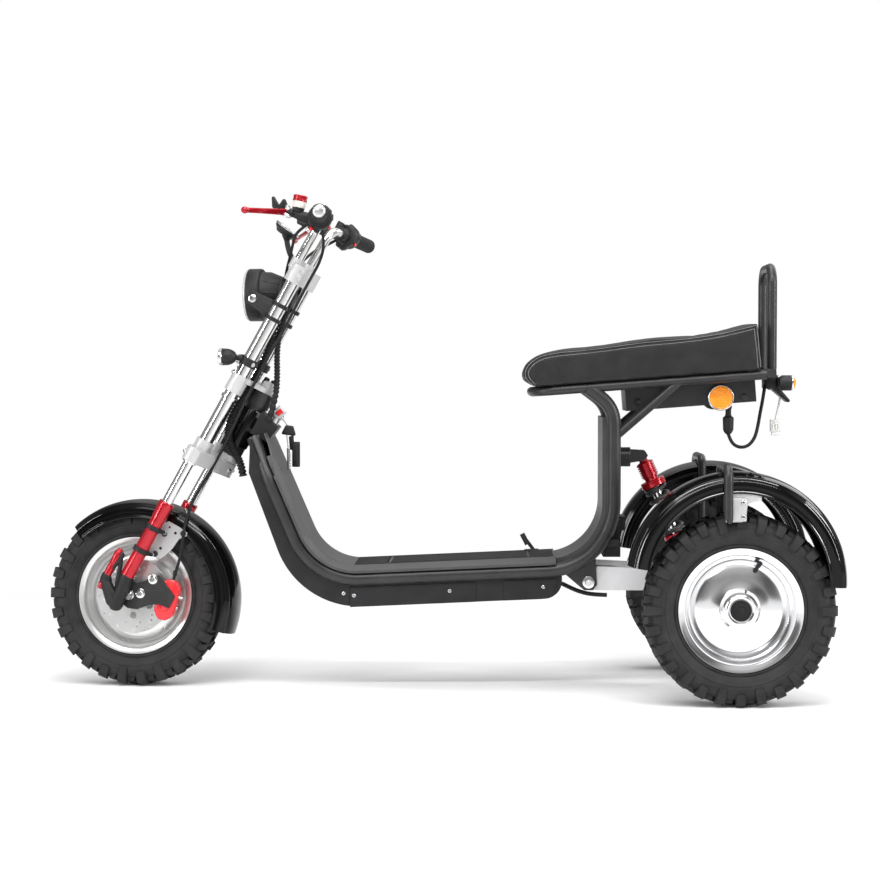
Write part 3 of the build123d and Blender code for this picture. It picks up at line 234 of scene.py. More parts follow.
LOOKS = {   # colour, roughness and what departs from a plain finish
    "frame_black": ((0.020, 0.020, 0.021), 0.36, dict(
        vary=0.2, grain=0.25, grain_scale=1400, round_edges=0.0012, shine=0.42)),
    "deck_grey": ((0.050, 0.050, 0.052), 0.42, dict(
        vary=0.15, grain=0.4, grain_scale=1500, round_edges=0.0008, shine=0.4)),
    "gloss_black": ((0.0016, 0.0016, 0.0018), 0.06, dict(
        vary=0.3, rough_vary=0.02, round_edges=0.0006, shine=0.30)),
    "black_plastic": ((0.011, 0.011, 0.012), 0.46, dict(
        vary=0.25, grain=0.5, grain_scale=1800, round_edges=0.0008, shine=0.30)),
    "rubber": ((0.010, 0.010, 0.011), 0.60, dict(
        vary=0.25, grain=0.6, grain_scale=1200, round_edges=0.0006, shine=0.25)),
    "tyre": ((0.016, 0.016, 0.017), 0.62, dict(
        vary=0.35, vary_scale=30, grain=0.7, grain_scale=700, rough_vary=0.1, shine=0.30)),
    "chrome": ((0.72, 0.715, 0.71), 0.19, dict(metallic=1.0, vary=0.03, rough_vary=0.03)),
    "satin": ((0.70, 0.70, 0.71), 0.30, dict(metallic=1.0, vary=0.04, rough_vary=0.04)),
    "rim_satin": ((0.76, 0.76, 0.755), 0.29, dict(metallic=0.90, vary=0.03, rough_vary=0.05)),
    "alloy": ((0.80, 0.80, 0.81), 0.34, dict(
        metallic=1.0, vary=0.06, grain=0.15, grain_scale=800, round_edges=0.0012)),
    "pale_alloy": ((0.50, 0.50, 0.505), 0.40, dict(
        metallic=0.30, vary=0.05, grain=0.2, grain_scale=900, round_edges=0.0010)),
    "steel": ((0.56, 0.56, 0.57), 0.28, dict(
        metallic=1.0, vary=0.1, grain=0.1, round_edges=0.0006)),
    "red_paint": ((0.42, 0.004, 0.014), 0.20, dict(
        metallic=0.45, vary=0.15, round_edges=0.0008, coat=0.3)),
    "red_bright": ((0.68, 0.012, 0.020), 0.26, dict(vary=0.1, round_edges=0.0008, coat=0.3)),
    "red_plastic": ((0.55, 0.006, 0.008), 0.24, dict(vary=0.1, coat=0.2)),
    "leather": ((0.010, 0.010, 0.011), 0.50, dict(
        vary=0.25, vary_scale=25, grain=0.9, grain_scale=420, shine=0.34)),
    "thread": ((0.16, 0.16, 0.16), 0.75, dict(vary=0.2, shine=0.2)),
    "arm_grey": ((0.66, 0.66, 0.67), 0.38, dict(
        metallic=0.30, vary=0.05, grain=0.2, round_edges=0.0012)),
    "amber": ((0.92, 0.27, 0.006), 0.20, dict(vary=0.15, vary_scale=200, coat=0.3)),
    "rim_polish": ((0.86, 0.86, 0.87), 0.14, dict(metallic=1.0, vary=0.03, rough_vary=0.06)),
    "white_plastic": ((0.78, 0.78, 0.76), 0.4, dict(vary=0.05)),
    "pale_plastic": ((0.60, 0.59, 0.54), 0.35, dict(vary=0.08)),
    "dark_glass": ((0.003, 0.003, 0.004), 0.04, dict(vary=0.3, rough_vary=0.01, shine=0.4)),
    "lens_clear": ((0.96, 0.97, 0.98), 0.03, dict(vary=0.02, rough_vary=0.01, clear=1.0)),
}
FINISH_OF = {name: look for look, names in {
    "frame_black": "frame_rails seat_frame backrest head_tube foot_pedal controller_box "
        "pivot_brackets shock_mount shock_spring fender_hoops fork_feet",
    "black_plastic": "front_skirt belly_tray battery_pack ignition_box tail_lamps bar_switches "
        "headlamp_shell front_signals display post_box",
    "deck_grey": "footboard battery_lid riser_cover",
    "gloss_black": "rear_fenders front_fender",
    "chrome": "fork_tubes handlebar headlamp_lens front_rim rear_rim_left rear_rim_right",
    "pale_alloy": "steering_crown upper_yoke top_clamp fender_bracket",
    "alloy": "drive_motor",
    "arm_grey": "swingarm",
    "steel": "key_switch",
    "red_paint": "shock_absorber brake_levers fork_sliders front_caliper rear_calipers",
    "rubber": "grips",
    "tyre": "front_tyre rear_tyre_left rear_tyre_right",
    "leather": "seat",
}.items() for name in names.split()}


def paint_nodes():
    """Every carried-over CAD node gets its finish."""
    for name, node in NODES.items():
        material = FINISHES[FINISH_OF[name]]
        if node.data.materials:
            for index in range(len(node.data.materials)):
                node.data.materials[index] = material
        else:
            node.data.materials.append(material)


# ---------------------------------------------------------------- building pieces
SHARP_ANGLE = radians(35.0)


def mesh_piece(name, points, faces, material, body):
    """Smoothly shaded mesh with its finish and the body it rides on."""
    mesh = bpy.data.meshes.new(name)
    mesh.from_pydata([tuple(p) for p in points], [], faces)
    mesh.validate()
    bm = bmesh.new()
    bm.from_mesh(mesh)
    bmesh.ops.recalc_face_normals(bm, faces=bm.faces)
    bm.to_mesh(mesh)
    bm.free()
    piece = placed(name, mesh)
    mesh.materials.append(FINISHES[material])
    mesh.shade_smooth()
    smooth_by_angle(piece)
    if body:
        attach(piece, body)
    return piece


def smooth_by_angle(piece):
    """Marks the sharp edges, so that smooth shading stops there."""
    bm = bmesh.new()
    bm.from_mesh(piece.data)
    for edge in bm.edges:
        if len(edge.link_faces) == 2:
            edge.smooth = edge.calc_face_angle(0.0) < SHARP_ANGLE
    bm.to_mesh(piece.data)
    bm.free()


def lathe(profile, segments, place):
    """Points and faces of a profile of (radius, along) turned about the local Y axis."""
    points, faces = [], []
    for i in range(segments):
        angle = tau * i / segments
        for radius, along in profile:
            points.append(place @ Vector((radius * cos(angle), along, radius * sin(angle))))
    count = len(profile)
    for i in range(segments):
        a, b = i * count, (i + 1) % segments * count
        for j in range(count - 1):
            faces.append((a + j, a + j + 1, b + j + 1, b + j))
    return points, faces


# ---------------------------------------------------------------- frames and measures
steer = JOINTS["steering"]
RAKE = atan2(-steer["axis"][0], steer["axis"][2])
STEER_REST = radians(8.5)
FORK = (Matrix.Translation(steer["pos_m"]) @ Matrix.Rotation(-RAKE, 4, "Y") @
    Matrix.Rotation(-STEER_REST, 4, "Z"))
NECK = Matrix.Translation(steer["pos_m"]) @ Matrix.Rotation(-RAKE, 4, "Y")
LEVEL = Matrix.Rotation(RAKE, 4, "Y")          # turns a piece of the fork level with the floor


def wheel_place(joint_name, flip=False):
    """Matrix with its origin on the wheel's axis and local Y along it."""
    joint = JOINTS[joint_name]
    place = Matrix.Translation(joint["pos_m"])
    if joint_name == "front_wheel_spin":
        return place @ FORK.to_3x3().to_4x4()
    return place @ Matrix.Rotation(pi, 4, "Z") if flip else place


WHEELS = [   # side, body, place, radius, width, crown, rim width and number of lugs
    ("front", "front_wheel", wheel_place("front_wheel_spin"), 0.212, 0.104, 0.090, 0.082, 26),
    ("rear_left", "rear_wheel_left", wheel_place("rear_wheel_left_spin"),
        0.216, 0.122, 0.120, 0.096, 28),
    ("rear_right", "rear_wheel_right", wheel_place("rear_wheel_right_spin", True),
        0.216, 0.122, 0.120, 0.096, 28),
]
LUG_H = 0.0085
RIM_FLANGE_R = 0.1385
RIM_SEAT_R = 0.127


def node_of(side, kind):
    """Name of a wheel's rim or tyre among the CAD nodes."""
    return f"front_{kind}" if side == "front" else f"rear_{kind}_{side[5:]}"


# ---------------------------------------------------------------- tyres
def crown_radius(y, radius, crown):
    """Radius of the tread's surface at this distance from the tyre's middle."""
    return radius - crown + sqrt(crown * crown - y * y)


def carcass_profile(radius, width, crown, rim_width):
    """Outer and inner outline of a tyre under its lugs."""
    half = width / 2
    bead = rim_width / 2 - 0.004
    base = radius - LUG_H
    shoulder_y = half * 0.84
    shoulder_r = crown_radius(shoulder_y, base, crown)
    profile = [(RIM_SEAT_R + 0.001, bead), (RIM_FLANGE_R + 0.001, bead),
        (RIM_FLANGE_R + 0.003, bead + 0.0035), (RIM_FLANGE_R + 0.0065, bead + 0.0035),
        (RIM_FLANGE_R + 0.0085, bead + 0.0015)]
    low_r, low_y = RIM_FLANGE_R + 0.0085, bead + 0.0015
    steps = 8
    for i in range(1, steps):
        t = i / steps
        r = low_r + (shoulder_r - low_r) * t
        swell = sin(pi * min(1.0, t * 0.92 + 0.04)) ** 0.8
        y = low_y + (shoulder_y - low_y) * t + (half - 0.0015 - max(shoulder_y, low_y)) * swell
        profile.append((r, y))
        if i == 3:
            profile += [(r + 0.0012, y + 0.0008), (r + 0.0030, y + 0.0008), (r + 0.0042, y)]
    for i in range(7):
        y = shoulder_y * (1 - i / 6)
        profile.append((crown_radius(y, base, crown), y))
    return profile + [(r, -y) for r, y in profile[-2::-1]]


def lug_faces(faces, start, rows):
    """Top, sides and ends of a block whose rows hold four points each; its foot stays open."""
    for i in range(rows - 1):
        for j in range(3):
            a = start + i * 4 + j
            faces.append((a, a + 1, a + 5, a + 4))
    faces.append(tuple(start + j for j in (3, 2, 1, 0)))
    faces.append(tuple(start + (rows - 1) * 4 + j for j in range(4)))


def lug(points, faces, place, angle, half_angle, y_from, y_to, surface, depth, skew):
    """One tread block that follows the crown, its top a little smaller than its foot."""
    start, rows = len(points), 4
    outwards = 1 if y_to > y_from else -1
    for i in range(rows):
        t = i / (rows - 1)
        y = y_from + (y_to - y_from) * t
        middle = angle + skew * (t - 0.5)
        edge = 0.78 if i in (0, rows - 1) else 0.86
        y_top = y + {0: 0.0010, rows - 1: -0.0010}.get(i, 0) * outwards
        for a, lift, yy in ((-half_angle, -0.002, y), (-half_angle * edge, depth, y_top),
                (half_angle * edge, depth, y_top), (half_angle, -0.002, y)):
            r = surface(yy) + lift
            points.append(place @ Vector((r * cos(middle + a), yy, r * sin(middle + a))))
    lug_faces(faces, start, rows)


def side_lug(points, faces, place, angle, half_angle, radius, half, sign, long):
    """Block wrapped over the shoulder, from the tread down the side wall."""
    start = len(points)
    reach = 0.024 if long else 0.015
    path = [(radius - 0.0005, half * 0.62), (radius - 0.0030, half * 0.80),
        (radius - 0.0075, half * 0.93), (radius - 0.0165, half * 0.995),
        (radius - 0.0165 - reach, half * 0.99)]
    inner = [(radius - LUG_H - 0.004, half * 0.60), (radius - LUG_H - 0.006, half * 0.76),
        (radius - LUG_H - 0.010, half * 0.84), (radius - 0.024, half * 0.90),
        (radius - 0.0165 - reach, half * 0.92)]
    for i, ((r_top, y_top), (r_low, y_low)) in enumerate(zip(path, inner)):
        taper = 1.0 - 0.10 * i / 4
        for a, r, y in ((-half_angle, r_low, y_low), (-half_angle * 0.84 * taper, r_top, y_top),
                (half_angle * 0.84 * taper, r_top, y_top), (half_angle, r_low, y_low)):
            points.append(place @ Vector((r * cos(angle + a), sign * y, r * sin(angle + a))))
    lug_faces(faces, start, len(path))


def make_tyre(side, body, place, radius, width, crown, rim_width, count):
    """Carcass, two rows of middle blocks and shoulder blocks, staggered left and right."""
    points, faces = lathe(carcass_profile(radius, width, crown, rim_width), 144, place)
    half = width / 2
    step = tau / count

    def surface(y):
        return crown_radius(y, radius - LUG_H, crown)

    for i in range(count):
        angle = i * step
        for sign, shift in ((1, 0.0), (-1, 0.5)):
            at = angle + shift * step
            side_lug(points, faces, place, at, step * 0.27, radius, half, sign, i % 2 == 0)
            lug(points, faces, place, at + step * 0.5, step * 0.20, sign * half * 0.26,
                sign * half * 0.80, surface, LUG_H - 0.0006, sign * step * 0.12)
        for share, skew in ((0.25, 0.10), (0.75, -0.10)):
            lug(points, faces, place, angle + step * share, step * 0.17, -half * 0.20, half * 0.20,
                surface, LUG_H - 0.0002, step * skew)
    piece = mesh_piece(f"{side}_tread", points, faces, "tyre", body)
    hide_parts(node_of(side, "tyre"))


# ---------------------------------------------------------------- rims
def rear_rim_profile():
    """Outer face from hub to flange, then the inner side back to the hub."""
    return [(0.0260, 0.046), (0.0300, 0.0475), (0.0330, 0.046), (0.0345, 0.040), (0.0400, 0.0385),
        (0.0425, 0.034), (0.0460, 0.0275), (0.0500, 0.0255), (0.0700, 0.0225), (0.0920, 0.0190),
        (0.1020, 0.0150), (0.1080, 0.0105), (0.1120, 0.0100), (0.1160, 0.0130), (0.1195, 0.0200),
        (0.1215, 0.0290), (0.1230, 0.0400), (0.1255, 0.0440), (0.1300, 0.0455), (0.1350, 0.0475),
        (0.1385, 0.0480), (0.1385, 0.0440), (0.1270, 0.0435), (0.1270, -0.0435), (0.1385, -0.0440),
        (0.1385, -0.0480), (0.1300, -0.0470), (0.1230, -0.0450), (0.1225, 0.0060), (0.1120, 0.0060),
        (0.1020, 0.0110), (0.0700, 0.0185), (0.0420, 0.0210), (0.0345, 0.0150), (0.0345, -0.0455),
        (0.0085, -0.0455)]


def front_rim_profile():
    """The same for the front wheel, whose hub stands further out."""
    return [(0.0085, 0.052), (0.0280, 0.052), (0.0300, 0.050), (0.0300, 0.020), (0.0340, 0.0150),
        (0.0700, 0.0140), (0.0920, 0.0130), (0.1000, 0.0090), (0.1060, 0.0020), (0.1120, 0.0000),
        (0.1160, 0.0040), (0.1195, 0.0140), (0.1215, 0.0240), (0.1230, 0.0340), (0.1255, 0.0372),
        (0.1300, 0.0388), (0.1350, 0.0405), (0.1385, 0.0410), (0.1385, 0.0370), (0.1270, 0.0365),
        (0.1270, -0.0365), (0.1385, -0.0370), (0.1385, -0.0410), (0.1300, -0.0395), (0.1230, -0.0370),
        (0.1225, -0.0050), (0.1120, -0.0060), (0.1040, -0.0020), (0.0900, 0.0080), (0.0340, 0.0095),
        (0.0300, 0.0060), (0.0300, -0.0455), (0.0085, -0.0455)]


def make_rim(side, body, place, profile):
    """Turned rim, polished at the rear and satin in front."""
    points, faces = lathe(profile, 160, place)
    finish_name = "rim_satin" if side == "front" else "rim_polish"
    piece = mesh_piece(f"{side}_rim_shell", points, faces, finish_name, body)
    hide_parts(node_of(side, "rim"))


PLATE_EDGE = 0.0003
DISC_R, DISC_BORE = 0.0898, 0.0185


def evaluated_mesh(thing):
    """New mesh of an object as its curve or modifiers leave it."""
    bpy.context.view_layer.update()
    return bpy.data.meshes.new_from_object(thing.evaluated_get(bpy.context.evaluated_depsgraph_get()))


def flat_plate(name, outline_rings, thickness, place, material, body):
    """Plate in the local XZ plane with holes: a list of closed point rings, the first outside."""
    curve = bpy.data.curves.new(name, "CURVE")
    curve.dimensions = "2D"
    curve.fill_mode = "BOTH"
    curve.extrude = thickness / 2
    curve.bevel_depth = PLATE_EDGE
    curve.bevel_resolution = 1
    for ring in outline_rings:
        spline = curve.splines.new("POLY")
        spline.points.add(len(ring) - 1)
        for point, (x, y) in zip(spline.points, ring):
            point.co = (x, y, 0, 1)
        spline.use_cyclic_u = True
    holder = placed(name, curve)
    mesh = evaluated_mesh(holder)
    bpy.data.objects.remove(holder)
    stand = place @ Matrix.Rotation(pi / 2, 4, "X")
    points = [stand @ v.co for v in mesh.vertices]
    faces = [tuple(p.vertices) for p in mesh.polygons]
    return mesh_piece(name, points, faces, material, body)


def ring_points(radius, count, center=(0, 0), wave=0.0, waves=0):
    """Closed ring of points, its radius waving where that is asked for."""
    points = []
    for i in range(count):
        angle = tau * i / count
        r = radius + wave * cos(waves * angle)
        points.append((center[0] + r * cos(angle), center[1] + r * sin(angle)))
    return points


def brake_disc(name, place, body, y, material="steel"):
    """Drilled disc with a scalloped edge."""
    rings = [ring_points(DISC_R - 0.0008, 144, wave=0.0008, waves=12), ring_points(DISC_BORE, 40)]
    for i in range(36):
        for row, at in enumerate((0.0805, 0.0725, 0.0650)):
            if (i + row) % 3 != 0:
                continue
            angle = tau * (i + 0.25 * row) / 36
            rings.append(ring_points(0.0028, 10, (at * cos(angle), at * sin(angle))))
    for i in range(6):
        angle = tau * i / 6
        rings.append(ring_points(0.0085, 20, (0.046 * cos(angle), 0.046 * sin(angle))))
    flat_plate(name, rings, 0.0034, place @ Matrix.Translation((0, y, 0)), material, body)


def make_wheels():
    """Tyre, rim and drilled disc of each wheel."""
    for side, body, place, radius, width, crown, rim_width, count in WHEELS:
        make_tyre(side, body, place, radius, width, crown, rim_width, count)
        if side == "front":
            make_rim(side, body, place, front_rim_profile())
            brake_disc("front_disc", place, body, 0.054, "rim_satin")
        else:
            make_rim(side, body, place, rear_rim_profile())
            brake_disc(f"{side}_disc", place, body, -0.048)


# ---------------------------------------------------------------- shapes, in millimetres
ROOT = Matrix.Identity(4)
AHEAD, LEFT, UP = Vector((1, 0, 0)), Vector((0, 1, 0)), Vector((0, 0, 1))
BACK = -AHEAD
BALL = [Vector((cos(b) * cos(a), cos(b) * sin(a), sin(b)))
    for b in (radians(-67), radians(-38), radians(-12), radians(12), radians(38), radians(67))
    for a in (tau * k / 14 for k in range(14))]


def skin(rings, sides, loop=False):
    """Faces between rings of points, with a cap at each end unless they close up."""
    faces = []
    for j in range(rings if loop else rings - 1):
        low, high = j * sides, (j + 1) % rings * sides
        for i in range(sides):
            k = (i + 1) % sides
            faces.append((low + i, low + k, high + k, high + i))
    if not loop:
        faces.append(tuple(range(sides - 1, -1, -1)))
        faces.append(tuple((rings - 1) * sides + i for i in range(sides)))
    return faces


class Shape:
    """Mesh gathered from simple solids, given in millimetres of a local frame."""

    def __init__(self, place=ROOT):
        self.place = place
        self.points = []
        self.faces = []

    def add(self, points, faces):
        first = len(self.points)
        self.points += [self.place @ (Vector(point) * MM) for point in points]
        self.faces += [tuple(first + i for i in face) for face in faces]

    def turn(self, start, towards, profile, sides=32, loop=False):
        """Turned solid from a spot in a direction; profile is (along, radius)."""
        start, axis = Vector(start), Vector(towards).normalized()
        turn = axis.to_track_quat("Z", "Y")
        across, up = turn @ Vector((1, 0, 0)), turn @ Vector((0, 1, 0))
        points = []
        for along, radius in profile:
            for i in range(sides):
                angle = tau * (i + 0.5) / sides
                spoke = (across * cos(angle) + up * sin(angle)) * max(radius, 0.01)
                points.append(start + axis * along + spoke)
        self.add(points, skin(len(profile), sides, loop))
        return self

    def hull(self, *balls):
        """Rounded solid stretched over (x, y, z, radius) balls."""
        bm = bmesh.new()
        for x, y, z, radius in balls:
            for spot in BALL:
                bm.verts.new(Vector((x, y, z)) + spot * radius)
        bmesh.ops.convex_hull(bm, input=bm.verts)
        loose = [vert for vert in bm.verts if not vert.link_faces]
        bmesh.ops.delete(bm, geom=loose, context="VERTS")
        bm.verts.index_update()
        self.add([vert.co for vert in bm.verts],
            [tuple(vert.index for vert in face.verts) for face in bm.faces])
        bm.free()
        return self

    def box(self, x, y, z, edge=1.5):
        """Block between three (low, high) ranges, its edges rounded."""
        self.hull(*[(a, b, c, edge) for a in (x[0] + edge, x[1] - edge)
            for b in (y[0] + edge, y[1] - edge) for c in (z[0] + edge, z[1] - edge)])
        return self

    def plate(self, outline, low, high):
        """Plate with an outline in local X and Z, between two values of Y."""
        count = len(outline)
        points = [(x, low, z) for x, z in outline] + [(x, high, z) for x, z in outline]
        faces = [tuple(range(count)), tuple(range(2 * count - 1, count - 1, -1))]
        faces += [(i, i + count, (i + 1) % count + count, (i + 1) % count) for i in range(count)]
        self.add(points, faces)
        return self

    def tube(self, path, radius, sides=16, swell=None):
        """Round bar along close points; swell(index) scales its radius there."""
        path = [Vector(point) for point in path]
        points, spoke = [], None
        for i, spot in enumerate(path):
            ahead = (path[min(i + 1, len(path) - 1)] - path[max(i - 1, 0)]).normalized()
            if spoke is None:
                spoke = ahead.orthogonal().normalized()
            spoke = (spoke - ahead * spoke.dot(ahead)).normalized()
            cross = ahead.cross(spoke)
            size = radius * (swell(i) if swell else 1.0)
            for k in range(sides):
                angle = tau * k / sides
                points.append(spot + (spoke * cos(angle) + cross * sin(angle)) * size)
        self.add(points, skin(len(path), sides))
        return self

    def arc(self, outline, first, last, steps):
        """Closed outline of (radius, y) carried round local Y between two angles."""
        points = []
        for i in range(steps + 1):
            angle = radians(first + (last - first) * i / steps)
            points += [(r * cos(angle), y, r * sin(angle)) for r, y in outline]
        self.add(points, skin(steps + 1, len(outline)))
        return self

    def piece(self, name, material, body, *nodes, slot=None):
        """The gathered mesh as an object that rides on a body and may stand for CAD nodes."""
        made = mesh_piece(name, self.points, self.faces, material, body)
        for node in nodes:
            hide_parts(node)
        return made


def spline(points, steps):
    """Close points along the quadratic spline of these control points."""
    points = [Vector(point) for point in points]
    path = [points[0]]
    for i in range(1, len(points) - 1):
        start = points[0] if i == 1 else (points[i - 1] + points[i]) / 2
        end = points[-1] if i == len(points) - 2 else (points[i] + points[i + 1]) / 2
        for j in range(1, steps + 1):
            t = j / steps
            path.append(start * (1 - t) ** 2 + points[i] * 2 * t * (1 - t) + end * t * t)
    return path


def rounded(points, bends, steps):
    """Straight runs joined by arcs of these radii."""
    points = [Vector(point) for point in points]
    path = [points[0]]
    for before, corner, after, bend in zip(points, points[1:], points[2:], bends):
        back, ahead = (before - corner).normalized(), (after - corner).normalized()
        half = back.angle(ahead) / 2
        centre = corner + (back + ahead).normalized() * (bend / sin(half))
        start = corner + back * (bend / tan(half)) - centre
        end = corner + ahead * (bend / tan(half)) - centre
        sweep = start.angle(end)
        for j in range(steps + 1):
            t = j / steps
            path.append(centre + start * (sin((1 - t) * sweep) / sin(sweep)) +
                end * (sin(t * sweep) / sin(sweep)))
    return path + [points[-1]]


def close_points(path, step):
    """The same line with points no further apart than the step."""
    dense = [Vector(path[0])]
    for start, end in zip(path, path[1:]):
        run = Vector(end) - Vector(start)
        count = max(1, int(run.length / step))
        dense += [Vector(start) + run * ((k + 1) / count) for k in range(count)]
    return dense


def nurbs(name, place, route, fine):
    """Curve with one open spline along a route, given in millimetres of a local frame."""
    curve = bpy.data.curves.new(name, "CURVE")
    curve.dimensions = "3D"
    curve.resolution_u = fine
    line = curve.splines.new("NURBS")
    line.points.add(len(route) - 1)
    for point, spot in zip(line.points, route):
        point.co = (*(place @ (Vector(spot) * MM)), 1)
    line.order_u = 3
    line.use_endpoint_u = True
    return curve


def cable(name, place, points, radius, material, body):
    """Round cable along its route."""
    curve = nurbs(name, place, points, 10)
    curve.bevel_depth = radius * MM
    curve.bevel_resolution = 4
    curve.use_fill_caps = True
    piece = placed(name, curve)
    curve.materials.append(FINISHES[material])
    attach(piece, body)
    return piece


def sideways(side, *spots):
    """Screws of one side at these places, their heads turned outwards."""
    return [((x, side * y, z), (0, side, 0)) for x, y, z in spots]


def screws(name, place, spots, radius, height, material, body):
    """Bolt heads on washers at (spot, direction), all in one piece."""
    shape = Shape(place)
    for spot, along in spots:
        shape.turn(spot, along, [(-1, radius * 1.5), (1.2, radius * 1.5), (1.6, radius * 1.4)], 28)
        shape.turn(spot, along, [(1.0, radius), (height * 0.85, radius), (height, radius * 0.86)], 6)
        shape.turn(spot, along, [(height - 0.5, radius * 0.45), (height + 0.6, radius * 0.40)], 14)
    return shape.piece(name, material, body)


def pan_screws(name, place, spots, radius, material, body):
    """Low domed heads with a cross recess, at (spot, direction)."""
    shape = Shape(place)
    slots = Shape(place)
    for spot, along in spots:
        spot, along = Vector(spot), Vector(along)
        shape.turn(spot, along, [(-1, radius), (0.8, radius), (1.8, radius * 0.82), (2.4, radius * 0.5),
            (2.6, 0.01)], 20)
        side = along.orthogonal().normalized() * radius * 0.6
        for arm in (side, along.cross(side).normalized() * radius * 0.6):
            slots.tube([spot + along * 2.2 - arm, spot + along * 2.2 + arm], radius * 0.14, 8)
    slots.piece(name + "_slots", "black_plastic", body)
    return shape.piece(name, material, body)


# ---------------------------------------------------------------- cables
PERCH_ROOT = Vector((50.5, 124.6, 411.8))


def make_cables():
    """Cables the machine holds all the way, and the spare white lead that hangs free."""
    hose = [PERCH_ROOT + Vector((-8, -6, -10)), (24, 92, 372), (17, 66, 330), (19, 62, 274),
        (18, 62, 216), (16, 62, 150), (18, 62, 84), (17, 60, 18), (16, 59, -48), (11, 60, -110),
        (7, 62, -170), (7, 64, -228), (9, 68, -284), (6, 73, -330), (-6, 75, -376), (-24, 75, -420),
        (-36, 70, -462), (-42, 64, -505)]
    cable("brake_hose_line", FORK, hose, 3.5, "rubber", "fork")
    left = [(60, 146, 396), (82, 138, 362), (88, 100, 338), (89, 60, 306), (90, 30, 278), (84, 16, 248),
        (62, 13, 235)]
    right = [(60, -146, 396), (82, -138, 362), (88, -100, 338), (89, -60, 306), (90, -28, 278),
        (84, -8, 250), (62, 3, 236)]
    cable("switch_lead_left", FORK, left, 3.5, "rubber", "fork")
    cable("switch_lead_right", FORK, right, 3.5, "rubber", "fork")
    collar = Shape(FORK)
    collar.turn((70, 8, 241), (-14, 0, -10), [(-1, 8.5), (0.5, 10), (4, 10), (5, 9.2), (6, 10),
        (11, 10), (12, 9.2), (13, 10), (17, 10), (18, 8.5)])
    collar.piece("lead_collar", "black_plastic", "fork", slot="rubber")
    make_looms()
    cable("motor_cable_line", ROOT, [(-294, 82, 251), (-318, 82, 239), (-342, 82, 230), (-368, 82, 225),
        (-400, 82, 224)], 5.0, "rubber", "chassis")
    make_tail_cable()


def route_points(route, place, fine):
    """Points in millimetres, read from the NURBS spline of a route."""
    curve = nurbs("route", place, route, fine)
    holder = placed("route", curve)
    points = [vert.co / MM for vert in evaluated_mesh(holder).vertices]
    bpy.data.objects.remove(holder)
    bpy.data.curves.remove(curve)
    return points


def make_looms():
    """Ribbed looms from the fork to the neck."""
    rear = [(64, 9, 238), (50, 11, 216), (44, 12, 178), (34, 14, 128), (12, 18, 82), (-14, 21, 40),
        (-37, 25, -6), (-49, 27, -62)]
    main = [(66, 20, 168), (48, 20, 134), (35, 20, 84), (31, 20, 28), (32, 21, -28), (37, 24, -76),
        (30, 31, -120), (10, 37, -150), (-18, 39, -166), (-42, 39, -180), (-62, 39, -204)]
    for name, route, radius, start, end in (
            ("rear_loom", rear, 7.5, (-49, 27, -62), (50, 11, 216)),
            ("main_loom", main, 9.5, (-18, 39, -166), (35, 20, 84))):
        shape = Shape()
        shape.tube(route_points(route, FORK, 32), radius, 18,
            lambda i: (1.0, 1.0, 0.97, 0.76, 0.76, 0.97)[i % 6])
        piece = shape.piece(name, "rubber", None)
        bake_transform(piece)


def make_tail_cable():
    """Plug under the controller box, its cable to the rear lamps, and the spare lead."""
    top = Vector((-685.1, 45, 671.8))
    low = Vector((-685.1, 45, 599.8))
    route = [low + Vector(step) for step in ((0, 0, 1), (-6, 0, -19), (-24, -2, -32), (-46, -6, -30),
        (-62, -10, -13), (-70, -14, 11), (-77, -18, 50))]
    route += [(-768.5, 23, 679.7), (-774.5, 18, 715.7)]
    cable("tail_cable_line", ROOT, route, 4.0, "rubber", "chassis")
    plug = Shape()
    plug.turn(top, low - top, [(-5, 7), (6, 7), (7, 8.5), (12, 8.5), (13, 7), (24, 6.6), (30, 8),
        (33, 12.2), (36, 13), (62, 12.2), (67, 10), (71, 7), (73, 4.5)])
    plug.piece("tail_plug", "black_plastic", "chassis", slot="rubber")
    lead_top = (-812.5, 0, 686.8)
    lead = cable("spare_lead_line", ROOT, [lead_top, (-809.5, 0, 662.0), (-801.5, 0, 632.2)], 2.5,
        "white_plastic", "chassis")
    body = Shape()
    body.box((-814, -789), (-7, 7), (604, 632.5), 1.5)
    body.box((-811, -792), (-5.5, 5.5), (594.7, 606), 1.0)
    for x in (-810, -803.5, -797):
        body.box((x, x + 4), (-7.8, 7.8), (607, 622), 0.8)
    connector = body.piece("spare_connector_body", "white_plastic", "chassis")


# ---------------------------------------------------------------- seat
SEAT = Matrix.Translation((-0.3535, 0, 0.708)) @ Matrix.Rotation(radians(4.3), 4, "Y")
SEAM = [(126, 0, 14), (141, 0, 32), (140, 0, 53), (119, 0, 73), (83, 0, 83.5), (-22, 0, 84.5),
    (-129, 0, 92), (-208, 0, 92), (-315, 0, 97.5), (-393, 0, 112), (-396, 0, 60), (-396, 0, 15)]
SEAM_Y = 133.0
SEAM_HOLD = 0.009                  # cover held still this near to the seam
SEAM_REACH, SEAM_DEPTH = 0.007, 0.0022
BASE_HOLD, BASE_TOP = 0.019, 0.0125
PAD_INSET = 0.004
PAD_RISE = 0.006                   # furthest that the padding may swell


def seam_line(side):
    """Close points along the seam of one side panel, in the seat's frame."""
    front = close_points(spline(SEAM[:10], 10), 2.0)
    rear = close_points([SEAM[9], SEAM[10], SEAM[11]], 2.0)
    return [Vector((p.x, side * SEAM_Y, p.z)) for p in front + rear[1:]]


